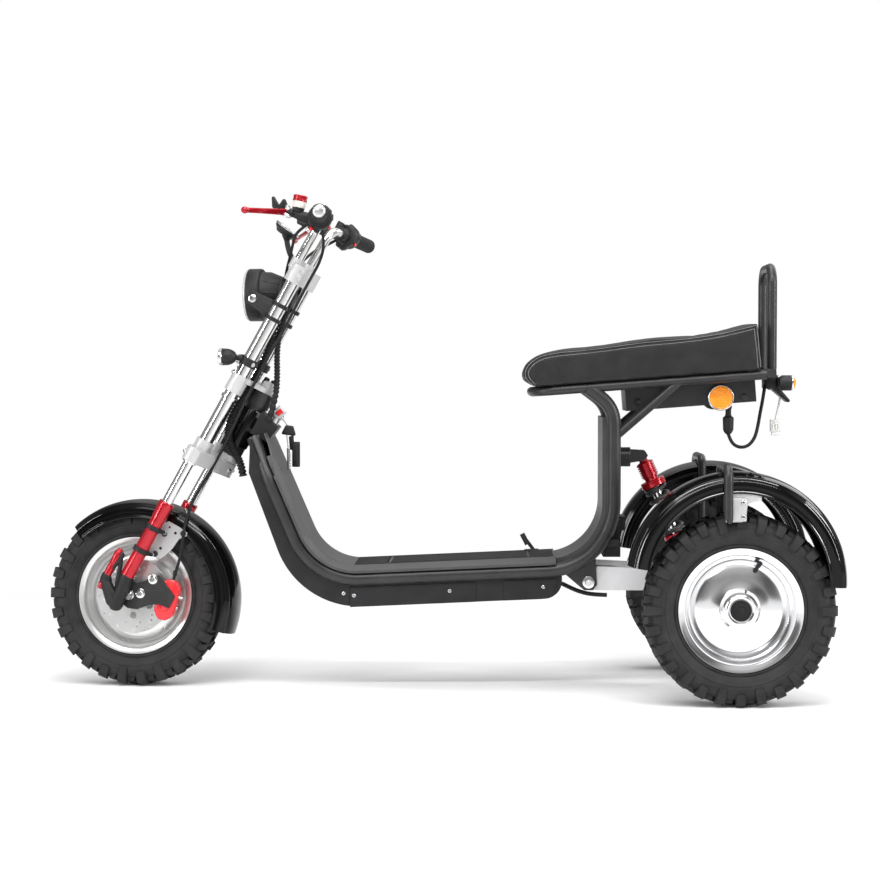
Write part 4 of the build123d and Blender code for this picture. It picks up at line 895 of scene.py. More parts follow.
def swell(piece, tree):
    """Cloth run: the cover puffs up between its pinned seams and its base."""
    pins = piece.vertex_groups.new(name="pins")
    inverse = SEAT.inverted()
    for vert in piece.data.vertices:
        low = (inverse @ vert.co).z < BASE_HOLD
        near = tree.find(vert.co)[2]
        if low or near < SEAM_HOLD:
            pins.add([vert.index], 1.0, "REPLACE")
    before = [vert.co.copy() for vert in piece.data.vertices]
    cloth = piece.modifiers.new("cloth", "CLOTH")
    cloth.settings.quality = 5
    cloth.settings.mass = 0.3
    cloth.settings.tension_stiffness = 12
    cloth.settings.compression_stiffness = 12
    cloth.settings.bending_stiffness = 0.6
    cloth.settings.use_pressure = True
    cloth.settings.uniform_pressure_force = 4.0
    cloth.settings.vertex_group_mass = "pins"
    cloth.settings.effector_weights.gravity = 0.0
    cloth.point_cache.frame_start = 1
    cloth.point_cache.frame_end = 20
    for step in range(1, 21):
        bpy.context.scene.frame_set(step)
    blown = piece.evaluated_get(bpy.context.evaluated_depsgraph_get()).data
    after = [vert.co.copy() for vert in blown.vertices]
    piece.modifiers.remove(cloth)
    bpy.context.scene.frame_set(1)
    for vert, old, new in zip(piece.data.vertices, before, after):
        move = new - old
        if move.length > PAD_RISE:
            move *= PAD_RISE / move.length
        vert.co = old + move


def make_seat():
    """Padded seat in leather, with a double-stitched seam round each side panel."""
    pad = placed("seat_pad", NODES["seat"].data.copy())
    remesh = pad.modifiers.new("remesh", "REMESH")
    remesh.mode = "VOXEL"
    remesh.voxel_size = 0.0055
    mesh = evaluated_mesh(pad)
    pad.modifiers.clear()
    pad.data = mesh
    mesh.materials.clear()
    mesh.materials.append(FINISHES["leather"])
    inverse = SEAT.inverted()
    lines = [seam_line(1), seam_line(-1)]
    spots = [SEAT @ (spot * MM) for line in lines for spot in line]
    tree = KDTree(len(spots))
    for index, spot in enumerate(spots):
        tree.insert(spot, index)
    tree.balance()
    shrunk = []
    for vert in mesh.vertices:
        low = (inverse @ vert.co).z < BASE_TOP
        shrunk.append(vert.co - vert.normal * (0.0 if low else PAD_INSET))
    for vert, spot in zip(mesh.vertices, shrunk):
        vert.co = spot
    swell(pad, tree)
    smooth = pad.modifiers.new("smooth", "SMOOTH")
    smooth.factor = 0.5
    smooth.iterations = 14
    divide = pad.modifiers.new("divide", "SUBSURF")
    divide.levels = divide.render_levels = 1
    fine = evaluated_mesh(pad)
    pad.modifiers.clear()
    pad.data = fine
    centre = SEAT @ Vector((-0.13, 0, 0.05))
    for vert in fine.vertices:
        near = tree.find(vert.co)[2]
        if near < SEAM_REACH:
            vert.co -= vert.normal * SEAM_DEPTH * (1 - (near / SEAM_REACH) ** 2)
        towards = (centre - vert.co).normalized()
        crease = 0.0003 * noise.noise(vert.co * 70) + 0.0005 * noise.noise(vert.co * 22)
        vert.co += towards * crease
    fine.shade_smooth()
    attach(pad, "chassis")
    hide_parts("seat")
    stitch(pad, lines)


def stitch(pad, lines):
    """Two rows of thread beside each seam, laid on the finished cover."""
    surface = BVHTree.FromPolygons([vert.co for vert in pad.data.vertices],
        [tuple(face.vertices) for face in pad.data.polygons])
    thread = Shape()
    for side, line in zip((1, -1), lines):
        middle = Vector((-130, side * SEAM_Y, 40))
        for row in (-1, 1):
            shifted = []
            for i, spot in enumerate(line):
                ahead = (line[min(i + 1, len(line) - 1)] - line[max(i - 1, 0)]).normalized()
                inner = ahead.cross(Vector((0, side, 0))).normalized()
                if inner.dot(middle - spot) < 0:
                    inner = -inner
                move = inner * 3.6 if row == 1 else inner * -2.6
                shifted.append(spot + move)
            travelled, start = 0.0, None
            for before, after in zip(shifted, shifted[1:]):
                if start is None:
                    start = before
                travelled += (after - before).length
                if travelled >= 4.2:
                    ends = [surface.find_nearest(SEAT @ (p * MM)) for p in (start, after)]
                    tips = [(hit[0] + hit[1] * 0.0009) / MM for hit in ends]
                    bulge = (tips[0] + tips[1]) / 2 + ends[0][1] * 0.5
                    thread.tube([tips[0] - ends[0][1] * 0.8, tips[0], bulge, tips[1],
                        tips[1] - ends[1][1] * 0.8], 0.80, 5)
                    travelled, start = -1.6, None
    thread.piece("seat_stitching", "thread", "chassis", slot="leather")


# ---------------------------------------------------------------- fenders and wheel fittings
def fender_section(top, lip, half):
    """Closed outline of (radius, y): crown, ridge over the shoulder and rolled lip."""
    side = [(top, 0), (top - 0.3, half * 0.17), (top - 1.2, half * 0.32), (top - 3.2, half * 0.48),
        (top - 6.2, half * 0.62), (top - 9.6, half * 0.73), (top - 11.0, half * 0.77),
        (top - 10.6, half * 0.80), (top - 9.6, half * 0.83), (top - 9.8, half * 0.86),
        (top - 11.6, half * 0.885), (top - 14.0, half * 0.90), (top - 16.5, half * 0.925),
        (top - 19.5, half * 0.96), (top - 23.5, half * 0.985), (lip + 14, half * 0.985),
        (lip + 8, half * 0.975), (lip + 5.6, half * 0.985), (lip + 4.2, half * 1.005),
        (lip + 2.2, half * 1.012), (lip + 0.4, half * 1.0), (lip - 0.4, half * 0.975),
        (lip + 0.4, half - 4.4), (lip + 3.0, half - 4.8)]
    inner = [(lip + 8, half * 0.985 - 3.2), (lip + 22, half * 0.985 - 3.4),
        (top - 20.0, half * 0.90 - 1.5), (top - 14.2, half * 0.76), (top - 8.8, half * 0.58),
        (top - 5.2, half * 0.38), (top - 3.6, half * 0.18)]
    outline = side + inner
    return outline + [(top - 3.2, 0)] + [(r, -y) for r, y in outline[:0:-1]]


def make_fenders():
    """Gloss guards over all three wheels."""
    for side, y in (("left", 275.0), ("right", -275.0)):
        shape = Shape(Matrix.Translation((-0.6765, y * MM, 0.279)))
        shape.arc(fender_section(245.0, 198.0, 70.0), 8.0, 182.5, 120)
        shape.piece(f"rear_fender_{side}", "gloss_black", "chassis", "rear_fenders")
    place = (FORK @ Matrix.Translation(FRONT_AXLE * MM) @ LEVEL @
        Matrix.Translation((-0.007, 0, -0.008)))
    shape = Shape(place)
    shape.arc(fender_section(238.0, 192.0, 66.0), 48.0, 200.0, 120)
    shape.piece("front_fender_guard", "gloss_black", "fork", "front_fender")


DISC_BOLT_R = 27.0                 # circle of the bolts that hold a brake disc


def make_wheel_fittings():
    """Hub caps, valves and the bolts of the brake discs."""
    for side, body, place, *_ in WHEELS:
        cap, valve, steel = Shape(place), Shape(place), Shape(place)
        if side == "front":
            steel.turn((0, 40, 0), LEFT, [(0, 30), (16.5, 30), (18, 28.5), (18, 20), (19, 17),
                (19, 8.4)], 40)
            bolt_y, along = 55.4, 1
            valve.turn((-52, 2, 84), (-2, 20, 8), [(0, 5), (6, 5), (8, 4), (20, 3.4), (21, 4.2),
                (29, 4.2), (30, 3)], 18)
        else:
            cap.turn((0, 44, 0), LEFT, [(0, 24), (4.6, 24), (6.0, 22.8), (6.2, 20.5), (5.0, 19.8),
                (5.0, 15.5), (6.4, 14.8), (6.6, 12), (5.4, 11.2), (5.4, 6.5), (7.2, 6), (7.4, 0.01)],
                48)
            cap.piece(f"{side}_hub_cap", "rubber", body)
            steel.turn((0, 24, 0), LEFT, [(0, 38), (11, 38), (13.5, 36.5), (15.2, 33.5), (15.2, 31.5),
                (17.5, 30.5), (19.5, 29), (20.5, 26.5), (20.5, 22)], 64)
            bolt_y, along = -49.8, -1
            valve.turn((-34, 16, 86), (-8, 18, 17), [(0, 6), (5, 5.6), (8, 4.6), (17, 4.2), (18, 5.4),
                (30, 5.4), (31, 4)], 18)
        valve.piece(f"{side}_valve", "rubber", body)
        for k in range(6):
            angle = tau * (k + 0.5) / 6
            spot = Vector((DISC_BOLT_R * cos(angle), bolt_y, DISC_BOLT_R * sin(angle)))
            steel.turn(spot, (0, along, 0), [(-1, 4.6), (3.4, 4.6), (4.2, 4.0), (4.2, 2.2), (2.6, 2.1)],
                16)
        steel.piece(f"{side}_hub_metal", "rim_polish", body)


# ---------------------------------------------------------------- headlamp and controls
LEG_X, TUBE_Y, LEG_Y = 53, 60, 100     # upper tubes and lower legs of the fork
FRONT_AXLE = Vector((29, 0, -578.976))
LAMP = FORK @ Matrix.Translation((0.146, 0, 0.176)) @ LEVEL
BAR_START = Vector((63.0, 62.0, 408.0))
BAR_END = Vector((17.0, 292.0, 422.0))


def mirrored_to(side, *spots):
    """The same places on the left (1) or the right (-1)."""
    return [Vector((spot[0], side * spot[1], spot[2])) for spot in spots]


def balls_near(base, side):
    """Gives the balls of a hull by their places from a base, mirrored on the right."""
    return lambda x, y, z, radius: (base.x + x, base.y + side * y, base.z + z, radius)


def make_headlamp():
    """Bowl, deep bezel, mirrored dish, clear lens and the arms that hold them."""
    shell = Shape(LAMP)
    shell.turn((0, 0, 0), BACK, [(4, 53), (-1, 54.5), (-1.5, 58), (0, 61), (2.5, 62.6), (29, 62.6),
        (32, 61.8), (34, 59.5), (35.5, 56.2), (39, 55), (47, 54.2), (60, 51), (74, 44.5), (80, 41),
        (81.5, 43), (86, 43), (88, 39), (97, 34), (106, 24), (112, 13), (115, 6), (115, 0.5), (40, 0.5),
        (40, 50)], 72, loop=True)
    for angle in range(0, 360, 30):
        a = radians(angle)
        shell.hull(*[(x, r * cos(a), r * sin(a), edge)
            for x, r, edge in ((-44, 53.5, 1.6), (-78, 42.5, 1.6), (-52, 51.5, 3.0))])
    shell.piece("headlamp_body", "black_plastic", "fork", "headlamp_shell")
    dish = Shape(LAMP)
    dish.turn((0, 0, 0), BACK, [(30, 0.01), (29, 9), (24, 24), (15, 38), (5, 49), (1.5, 53),
        (1.5, 54.5), (32, 54.5), (32, 0.01)], 64)
    dish.turn((0, 0, 0), BACK, [(13, 0.01), (13.5, 8), (16, 10), (31, 10)], 28)
    dish.piece("headlamp_dish", "chrome", "fork", "headlamp_lens", slot="lens_clear")
    lens = Shape(LAMP)
    lens.turn((0, 0, 0), BACK, [(-14, 0.01), (-13.2, 18), (-10.8, 33), (-6.8, 45.5), (-2.4, 53),
        (0, 56), (1, 56), (0.4, 53), (-4.6, 45), (-8.6, 32.5), (-11, 17.5), (-11.8, 0.01)], 72)
    lens.piece("headlamp_glass", "lens_clear", "fork", "headlamp_lens")
    ring = Shape(LAMP)
    ring.turn((0, 0, 0), BACK, [(-3.4, 55.5), (-4.2, 57.5), (-3.4, 60), (0, 61.6), (2.4, 62.6),
        (2.4, 58), (-1, 54.6)], 72, loop=True)
    ring.piece("headlamp_ring", "pale_alloy", "fork", slot="black_plastic")
    arms = Shape(FORK)
    bolts = []
    for side in (1, -1):
        y = 64.0 * side
        arms.hull((52, y, 152, 3), (52, y, 194, 3), (128, y, 188, 3), (130, y, 163, 3))
        arms.hull((60, y, 160, 4.5), (60, y, 186, 4.5), (100, y, 176, 4.2), (104, y, 170, 4.2))
        for low in (150, 186):
            arms.turn((LEG_X, side * TUBE_Y, low), UP, [(0, 18.5), (1, 20.5), (9, 20.5), (10, 18.5)],
                36)
        bolts += sideways(side, (118, 66.5, 174))
    arms.piece("headlamp_arms", "black_plastic", "fork", "headlamp_shell")
    screws("headlamp_bolts", FORK, bolts, 6.2, 6.0, "chrome", "fork")


def make_bar_ends():
    """Ribbed grips, their end caps, switch housings and buttons."""
    grip, caps, pods, red, grey = (Shape(FORK) for _ in range(5))
    for side in (1, -1):
        start, end = mirrored_to(side, BAR_START, BAR_END)
        back = (start - end).normalized()
        profile = [(0, 13.5), (0.5, 16.2), (2.5, 17.2)]
        for k in range(15):
            at = 5 + k * 6.4
            profile += [(at, 17.2), (at + 0.8, 16.2), (at + 2.0, 16.2), (at + 2.8, 17.2)]
        profile += [(103, 17.2), (105, 20.5), (108, 21.0), (116, 21.0), (118, 19)]
        grip.turn(end, back, profile, 40)
        cap = [(-2, 12), (2.0, 12.5), (4.0, 10.0), (5.0, 0.01)]
        if side > 0:
            cap = [(-2, 14.5), (1.0, 15.0), (4.0, 14.2), (6.4, 11.4), (7.6, 7.0), (8.0, 0.01)]
        caps.turn(end, -back, cap, 40)
        at = end + back * 119
        pods.turn(at, back, [(0, 23), (1, 26.5), (4, 28.2), (17.5, 28.8), (18.3, 27.8), (19.8, 27.8),
            (20.6, 28.8), (35, 28.0), (38, 25.5), (39, 21)], 44)
        tail = at + back * 12
        ball = balls_near(tail, side)
        pods.hull(ball(-6, -9, -27, 7), ball(12, -9, -24, 7), ball(-4, -20, -30, 6),
            ball(10, -20, -28, 6))
        pods.hull(ball(4, -14, 26, 6), ball(-10, -14, 22, 6))
        grey.hull(ball(-22, -2, 17, 4.2), ball(-26, -2, 9, 4.2))
        red.hull(ball(-27, -12, -9, 3.6), ball(-27, -16, -9, 3.6))
        ball = balls_near(at + Vector((8, -8 * side, -33 if side > 0 else -32)), side)
        red.hull(ball(0, 0, 0, 4.6), ball(-4, 5, -1, 4.2))
    grip.piece("grip_sleeves", "rubber", "fork", "grips")
    caps.piece("bar_caps", "satin", "fork", "grips", slot="rubber")
    pods.piece("switch_pods", "black_plastic", "fork", "bar_switches")
    red.piece("switch_buttons", "red_plastic", "fork", slot="black_plastic")
    grey.piece("switch_rockers", "frame_black", "fork")


def make_levers():
    """Clamps, reservoirs and blades of both brake levers."""
    body, cup, lid, blade, metal = (Shape(FORK) for _ in range(5))
    for side in (1, -1):
        root, end = mirrored_to(side, PERCH_ROOT, BAR_END)
        back = (mirrored_to(side, BAR_START)[0] - end).normalized()
        body.turn(root - back * 11, back, [(0, 15), (1, 17), (21, 17), (22, 15)], 36)
        ball = balls_near(root, side)

        def off(x, y, z):
            return root + Vector((x, side * y, z))

        body.hull(ball(4, 0, -4, 12), ball(62, 7, -18, 9.5), ball(30, 3, -16, 9))
        body.hull(ball(64, 2, -20, 8), ball(64, 14, -20, 8), ball(80, 8, -23, 7))
        body.turn(off(16, 2, 0), UP, [(-4, 9), (24.5, 9), (26, 8.2), (26, 4.3), (12, 4.2)], 28)
        body.hull(ball(84, 2, -14, 6), ball(95, 5, -3, 5), ball(98, 5, -26, 4.6))
        body.hull(ball(96, 3, -24, 4.4), ball(111, 3, -25, 4.6), ball(121, 4, -9, 4.4))
        low, high = off(54, 5, -10), off(66, 5, 26)
        cup.turn(low, high - low, [(8, 12.5), (10, 15.2), (24, 15.8), (25, 15.2)], 36)
        body.turn(low, high - low, [(-2, 11), (0, 13.5), (9, 14.2), (11, 12)], 36)
        lid.turn(low, high - low, [(24, 15.4), (25, 16.8), (28, 16.8), (29, 15.9), (33, 15.9),
            (34, 16.6), (37, 16.6), (38.6, 15.0), (38.6, 0.01)], 36)
        tip = Vector((182.0, side * 250.0, 345.0))
        tip_root = off(75, 8, -22)
        run = tip - tip_root
        cross = run.cross(Vector((0, 0, 1))).normalized()
        rise = cross.cross(run).normalized()
        steps = ((0.02, 4.0, 8.6), (0.18, 3.6, 7.6), (0.6, 3.4, 6.6), (0.93, 3.4, 6.2))
        for stretch in zip(steps, steps[1:]):
            blade.hull(*[(*(tip_root + run * t + rise * s * (height - width)), width)
                for t, width, height in stretch for s in (-1, 1)])
        blade.hull((*tip, 8.2), (*(tip - run.normalized() * 5), 7.4))
        metal.turn(tip_root - rise * 12, rise, [(0, 7), (1, 8), (23, 8), (24, 7)], 24)
        metal.hull(ball(66, 4, -27, 5), ball(84, 4, -30, 4.6), ball(66, 14, -27, 5),
            ball(84, 14, -30, 4.6))
        metal.turn(off(80, 8, -12), UP, [(0, 5.4), (5, 5.4), (6, 4.6)], 6)
    body.piece("lever_clamps", "black_plastic", "fork", "brake_levers")
    cup.piece("fluid_reservoirs", "pale_plastic", "fork", "brake_levers", slot="black_plastic")
    lid.piece("reservoir_caps", "red_paint", "fork")
    blade.piece("lever_blades", "red_paint", "fork", "brake_levers")
    metal.piece("lever_pivots", "alloy", "fork")


def make_display():
    """Round instrument on its arm, tilted back towards the rider."""
    place = FORK @ Matrix.Translation((0.143, 0, 0.352)) @ Matrix.Rotation(radians(-8), 4, "Y")
    body, rim, glass, arm = Shape(place), Shape(place), Shape(place), Shape(FORK)
    body.turn((0, 0, -12), UP, [(0, 18), (1.5, 21), (9, 27), (11, 30), (17, 31.2), (18, 31.2)], 56)
    rim.turn((0, 0, -12), UP, [(15.5, 31.4), (16.5, 32.2), (20, 32.2), (20.8, 31), (20.6, 28.6),
        (19, 28.2), (19, 29), (15.5, 29)], 64, loop=True)
    glass.turn((0, 0, -12), UP, [(17, 28.8), (19.4, 28.8), (20.2, 20), (20.5, 0.01)], 56)
    body.piece("display_case", "black_plastic", "fork", "display")
    rim.piece("display_rim", "chrome", "fork", slot="black_plastic")
    glass.piece("display_glass", "dark_glass", "fork", slot="gloss_black")
    arm.tube(spline([(73, 0, 284), (96, 0, 300), (118, 0, 316), (137, 0, 341)], 8), 6.4, 16)
    arm.hull((132, 0, 336, 8), (140, 0, 342, 8), (137, 9, 341, 5), (137, -9, 341, 5))
    arm.piece("display_arm", "black_plastic", "fork", "display")


def make_signals():
    """Round turn signals on stalks clamped to the fork tubes."""
    clamp, body, rim, lens = (Shape(FORK) for _ in range(4))
    bolts = []
    for side in (1, -1):
        place = FORK @ Matrix.Translation((0.102, side * 0.084, 0.024)) @ LEVEL
        clamp.turn((LEG_X, side * TUBE_Y, 28), UP, [(0, 18.5), (0.8, 21), (19.2, 21), (20, 18.5)], 40)
        clamp.hull((70, side * 66, 38, 8), (76, side * 69, 37, 7))
        clamp.tube([(70, side * 66, 37), (84, side * 73, 34), (97, side * 81, 29)], 6.0, 16)
        clamp.tube([(78, side * 70, 36), (79, side * 70.5, 35.8)], 7.4, 16)
        bolts.append(((38, side * 74, 38), (-0.3, side, 0)))
        for shape, profile in (
                (body, [(-27, 0.01), (-26, 6), (-22, 12), (-14, 17), (-6, 19.4), (8, 20), (10, 19)]),
                (rim, [(6, 19.6), (7, 20.6), (13, 20.6), (14.4, 19.2), (14, 17.4), (10, 17.2),
                    (6, 18)]),
                (lens, [(8, 17.6), (12, 17.6), (15.5, 13), (17, 7), (17.5, 0.01)])):
            shape.place = place
            shape.turn((0, 0, 0), AHEAD, profile, 44, loop=shape is rim)
    clamp.piece("signal_clamps", "black_plastic", "fork", "front_signals")
    body.piece("signal_bodies", "black_plastic", "fork", "front_signals")
    rim.piece("signal_rims", "chrome", "fork", slot="black_plastic")
    lens.piece("signal_lenses", "amber", "fork", slot="black_plastic")
    screws("signal_clamp_bolts", FORK, bolts, 3.6, 4.5, "chrome", "fork")


def make_lower_fork():
    """Sliders with their rings, feet, damping chambers, axle plates and bolts."""
    red, black, pale, dark = (Shape(FORK) for _ in range(4))
    bolts, small = [], []
    for side in (1, -1):
        y = LEG_Y * side
        red.turn((LEG_X, y, -537.976), UP, [(0, 15.5), (1.5, 16.6), (118, 16.6), (119, 17.1),
            (152, 17.2), (172, 18.3), (190, 18.8), (196, 18.8), (198, 17.6), (198, 13.4), (188, 13.2)],
            48)
        for low in (-474, -414):
            black.turn((LEG_X, y, low), UP, [(0, 16.8), (0.6, 20), (11.4, 20), (12, 16.8)], 44)
            black.hull((36, y - 4 * side, low + 6, 5.4), (31, y - 12 * side, low + 6, 4.6),
                (30, y - 22 * side, low + 6, 4.2))
            small += sideways(side, (30, LEG_Y - 18, low + 6))
        black.hull((LEG_X, y, -540, 17.3), (50, y, -556, 17.0))
        black.hull((50, y, -556, 16.8), (42, y, -606, 14.5), (46, y, -610, 15))
        black.hull((42, y, -608, 15.5), (58, y, -606, 14), (96, y, -572, 12))
        black.hull((96, y, -571, 12), (98, y, -562, 11.4), (90, y, -570, 11))
        black.tube(spline([(100, y - 2 * side, -562), (92, y + 4 * side, -538),
            (82, y + 6 * side, -505), (90, y + 4 * side, -494), (76, y + 3 * side, -530),
            (66, y + 2 * side, -562), (60, y, -580)], 8), 5.2, 12)
        red.turn((97, y, -569), UP, [(0, 8), (2, 9.6), (34, 10), (36, 9.2), (38, 9.2), (40, 10),
            (70, 10), (72, 8.6), (74, 6.4), (79, 6.2), (80, 5)], 36)
        red.turn((97, y, -596), UP, [(0, 4), (1.5, 7.2), (9, 7.2), (10, 9.2), (16, 9.2)], 24)
        pale.plate([(49, -601), (53, -588), (56, -560), (50, -549), (30, -544), (14, -530), (6, -511),
            (-8, -502), (-26, -509), (-48, -518), (-67, -527), (-67, -557), (-40, -561), (-20, -576),
            (-2, -597), (20, -606)], side * 74.6, side * 82.4)
        bolts += sideways(side, (31.0, 82.4, -576.5), (9.5, 82.4, -560.5), (-1, 82.4, -516.6))
        dark.turn((FRONT_AXLE.x, side * 60, FRONT_AXLE.z), (0, side, 0), [(0, 8), (14, 8)] +
            ([(14, 14), (20, 14), (21, 12.5)] if side > 0 else [(14, 13), (22, 13), (23, 11)]), 32)
    dark.turn((FRONT_AXLE.x, -97, FRONT_AXLE.z), LEFT, [(0, 8), (194, 8)], 28)
    red.piece("slider_legs", "red_paint", "fork", "fork_sliders")
    black.piece("fork_lowers", "black_plastic", "fork", "fork_feet", slot="frame_black")
    pale.piece("axle_plates", "frame_black", "fork", "fork_feet")
    dark.piece("front_axle_bar", "steel", "fork", "fork_feet", slot="frame_black")
    screws("axle_plate_bolts", FORK, bolts, 7.6, 5.5, "chrome", "fork")
    screws("ring_bolts", FORK, small, 3.6, 5.0, "steel", "fork")


def hole_shade_disc(shape, x, z, y, side, radius):
    """Black disc of painted shade that stands for a hole in a plate."""
    shape.turn((x, y, z), (0, side, 0), [(-0.8, radius), (0.35, radius), (0.36, radius * 0.5)], 20)


def make_front_plates():
    """Pale plates that carry the front fender, black discs of painted shade where their holes are, and
    their bolts.
    """
    plate, holes = Shape(FORK), Shape(FORK)
    bolts = []
    for side in (1, -1):
        low, high = sorted((side * 66.0, side * 70.4))
        plate.plate([(50, -402), (46, -392), (36, -381), (8, -380.5), (-17, -383), (-18.5, -391),
            (-12, -398), (-6, -406), (-4, -430), (2, -452), (11, -469), (30, -473.5), (50, -474)],
            low, high)
        plate.hull((46, side * 67, -404, 2), (46, side * 67, -472, 2), (46, side * 83, -404, 2),
            (46, side * 83, -472, 2))
        # black discs of painted shade stand where the plates' holes are
        for x, z, r in ((7.9, -397.3, 3.4), (22, -446, 3.6), (27, -392, 2.6)):
            hole_shade_disc(holes, x, z, side * 70.4, side, r)
        bolts += sideways(side, (30.3, 70.4, -412), (27, 70.4, -464), (-9, 70.4, -389))
    plate.piece("fender_plates", "pale_alloy", "fork", "fender_bracket", slot="alloy")
    holes.piece("fender_plate_hole_shade", "black_plastic", "fork")
    screws("fender_plate_bolts", FORK, bolts, 4.6, 5.0, "frame_black", "fork")


def make_front_caliper():
    """Rounded outer half, bridge, pad pins and hose fitting of the front caliper."""
    place = (FORK @ Matrix.Translation((-0.051, 0, -0.543976)) @ Matrix.Rotation(radians(14), 4, "Y"))
    body, dark, metal = Shape(place), Shape(place), Shape(place)
    for low, high, edge in ((61.5, 71.0, 4.5), (46.5, 48.0, 2.4)):
        body.hull(*[(x * s, y, z * t, edge) for y in (low, high) for s in (-1, 1) for t in (-1, 1)
            for x, z in ((20.5, 20), (18.5, 31), (13, 39), (6, 44.5))])
    body.hull((0, 73, 14, 6), (3, 73, -22, 6), (-5, 73, -20, 6), (-4, 73, 12, 6))
    body.hull(*[(x, y, z, 3) for x in (-21, -15) for y in (48, 70) for z in (-22, 22)])
    body.turn((-1, 70, 22), LEFT, [(0, 9), (6, 9), (7, 8)], 24)
    body.hull((12, 66, -8, 5), (22, 66, -10, 4.5))
    dark.turn((20, 66, -10), (10, 0, -1), [(0, 5.4), (4, 6.8), (8, 6.2), (10, 4)], 20)
    dark.turn((-1, 76, 22), LEFT, [(0, 4), (1.5, 4), (1.6, 2)], 6)
    metal.turn((0, 64, 38), UP, [(0, 6), (5, 6), (5, 8.4), (11, 8.4), (11, 5), (14, 4.6)], 6)
    metal.turn((-24, 62, 12), BACK, [(0, 5), (4, 5), (5, 4), (10, 3.6), (11, 2.4)], 18)
    metal.turn((-24, 62, -14), BACK, [(0, 4.4), (4, 4.4), (5, 3.4)], 18)
    body.piece("caliper_body", "red_bright", "fork", "front_caliper", slot="red_paint")
    dark.piece("caliper_caps", "black_plastic", "fork")
    metal.piece("caliper_fittings", "steel", "fork")


def make_crown_fittings():
    """Chrome legs, collars, pinch bolts and the adjusters on the steering nut."""
    collars, knobs, tubes = Shape(FORK), Shape(FORK), Shape(FORK)
    bolts = []
    for side in (1, -1):
        tubes.turn((LEG_X, side * TUBE_Y, -229), UP, [(0, 16.2), (0.8, 17), (510.2, 17), (511, 16.2)],
            96)
        tubes.turn((LEG_X, side * LEG_Y, -350), UP, [(0, 13), (155, 13)], 96)
        collars.turn((LEG_X, side * TUBE_Y, -60), UP, [(0, 17.4), (0, 20.5), (7, 20.5), (7, 17.4)], 40)
        collars.turn((LEG_X, side * LEG_Y, -233), UP, [(0, 13.4), (0, 17.5), (5, 18.5), (5, 13.4)], 40)
        bolts += [((71, side * 112, -212), (1, side * 0.6, 0)),
            ((70, side * 74, 2), (0.7, side * 0.7, 0)), ((40, side * 78.4, 266), (-0.4, side, 0)),
            ((40, side * 78.4, 284), (-0.4, side, 0)), ((-19, side * 14, -212), (-1, side * 0.4, 0))]
    for x, y in ((9, 4), (-7, -5)):
        profile = [(0, 6)]
        for k in range(4):
            profile += [(1 + k * 3, 7.2), (2.2 + k * 3, 7.2), (2.8 + k * 3, 6.6)]
        profile += [(14.5, 6.4), (15.5, 4)]
        knobs.turn((x, y, 10), UP, profile, 18)
    tubes.piece("leg_tubes", "chrome", "fork", "fork_tubes")
    collars.piece("tube_collars", "chrome", "fork")
    knobs.piece("nut_adjusters", "black_plastic", "fork")
    screws("clamp_bolts", FORK, bolts, 4.2, 5.0, "chrome", "fork")


# ---------------------------------------------------------------- rear end
SHOCK_TOP, SHOCK_LOW = Vector((-484.5, 0, 548)), Vector((-580, 0, 333))


def make_shock():
    """Finned red damper body with its clevises, and a steel coil over it."""
    run = SHOCK_LOW - SHOCK_TOP
    length, along = run.length, run.normalized()

    def at(distance):
        return SHOCK_TOP + along * distance

    red, coil, bright, ends = Shape(), Shape(), Shape(), Shape()
    for spot in (SHOCK_TOP, SHOCK_LOW):
        red.turn(spot - Vector((0, 11.7, 0)), LEFT, [(0, 12.2), (0.8, 13), (22.6, 13), (23.4, 12.2)],
            36)
        ends.turn(spot - Vector((0, 12.6, 0)), LEFT, [(0, 7.5), (25.2, 7.5)], 24)
    profile = [(8, 10), (16, 10.5), (19, 18), (20.5, 20.6)]
    for k in range(6):
        low = 22 + k * 5.6
        profile += [(low, 20.8), (low + 2.6, 20.8), (low + 2.9, 17.4), (low + 5.0, 17.4)]
    profile += [(56, 20.8), (57, 16), (64, 16), (64.5, 27.5), (66, 29.6), (69, 29.8), (70, 27.8),
        (71, 29.8), (79, 29.8), (80, 28.2), (80, 14)]
    red.turn(SHOCK_TOP, along, profile, 48)
    red.turn(SHOCK_TOP, along, [(length - 34, 13), (length - 34, 28.6), (length - 33, 29.8),
        (length - 25, 29.8), (length - 24, 27), (length - 20, 12), (length - 12, 10), (length - 6, 10)],
        48)
    red.piece("damper_body", "red_paint", "chassis", "shock_absorber")
    ends.piece("damper_bushes", "steel", "chassis")
    bright.turn(SHOCK_TOP, along, [(79, 11.6), (length - 33, 11.6)], 32)
    bright.turn(SHOCK_TOP, along, [(80, 15), (88, 15), (90, 12)], 32)
    bright.piece("damper_rod", "chrome", "chassis")
    across = Vector((0, 1, 0))
    up = along.cross(across)
    low, high, turns, wire, mean = 80.0, length - 34.0, 7.0, 4.5, 23.4
    path = []
    steps = int(turns * 26)
    for i in range(steps + 1):
        t = i / steps
        ease = min(1.0, max(0.0, (t * turns - 0.75) / (turns - 1.5)))
        angle = tau * turns * t
        path.append(at(low + wire + (high - low - 2 * wire) * ease) +
            (across * cos(angle) + up * sin(angle)) * mean)
    coil.tube(path, wire, 12)
    coil.piece("coil", "frame_black", "chassis", "shock_spring")


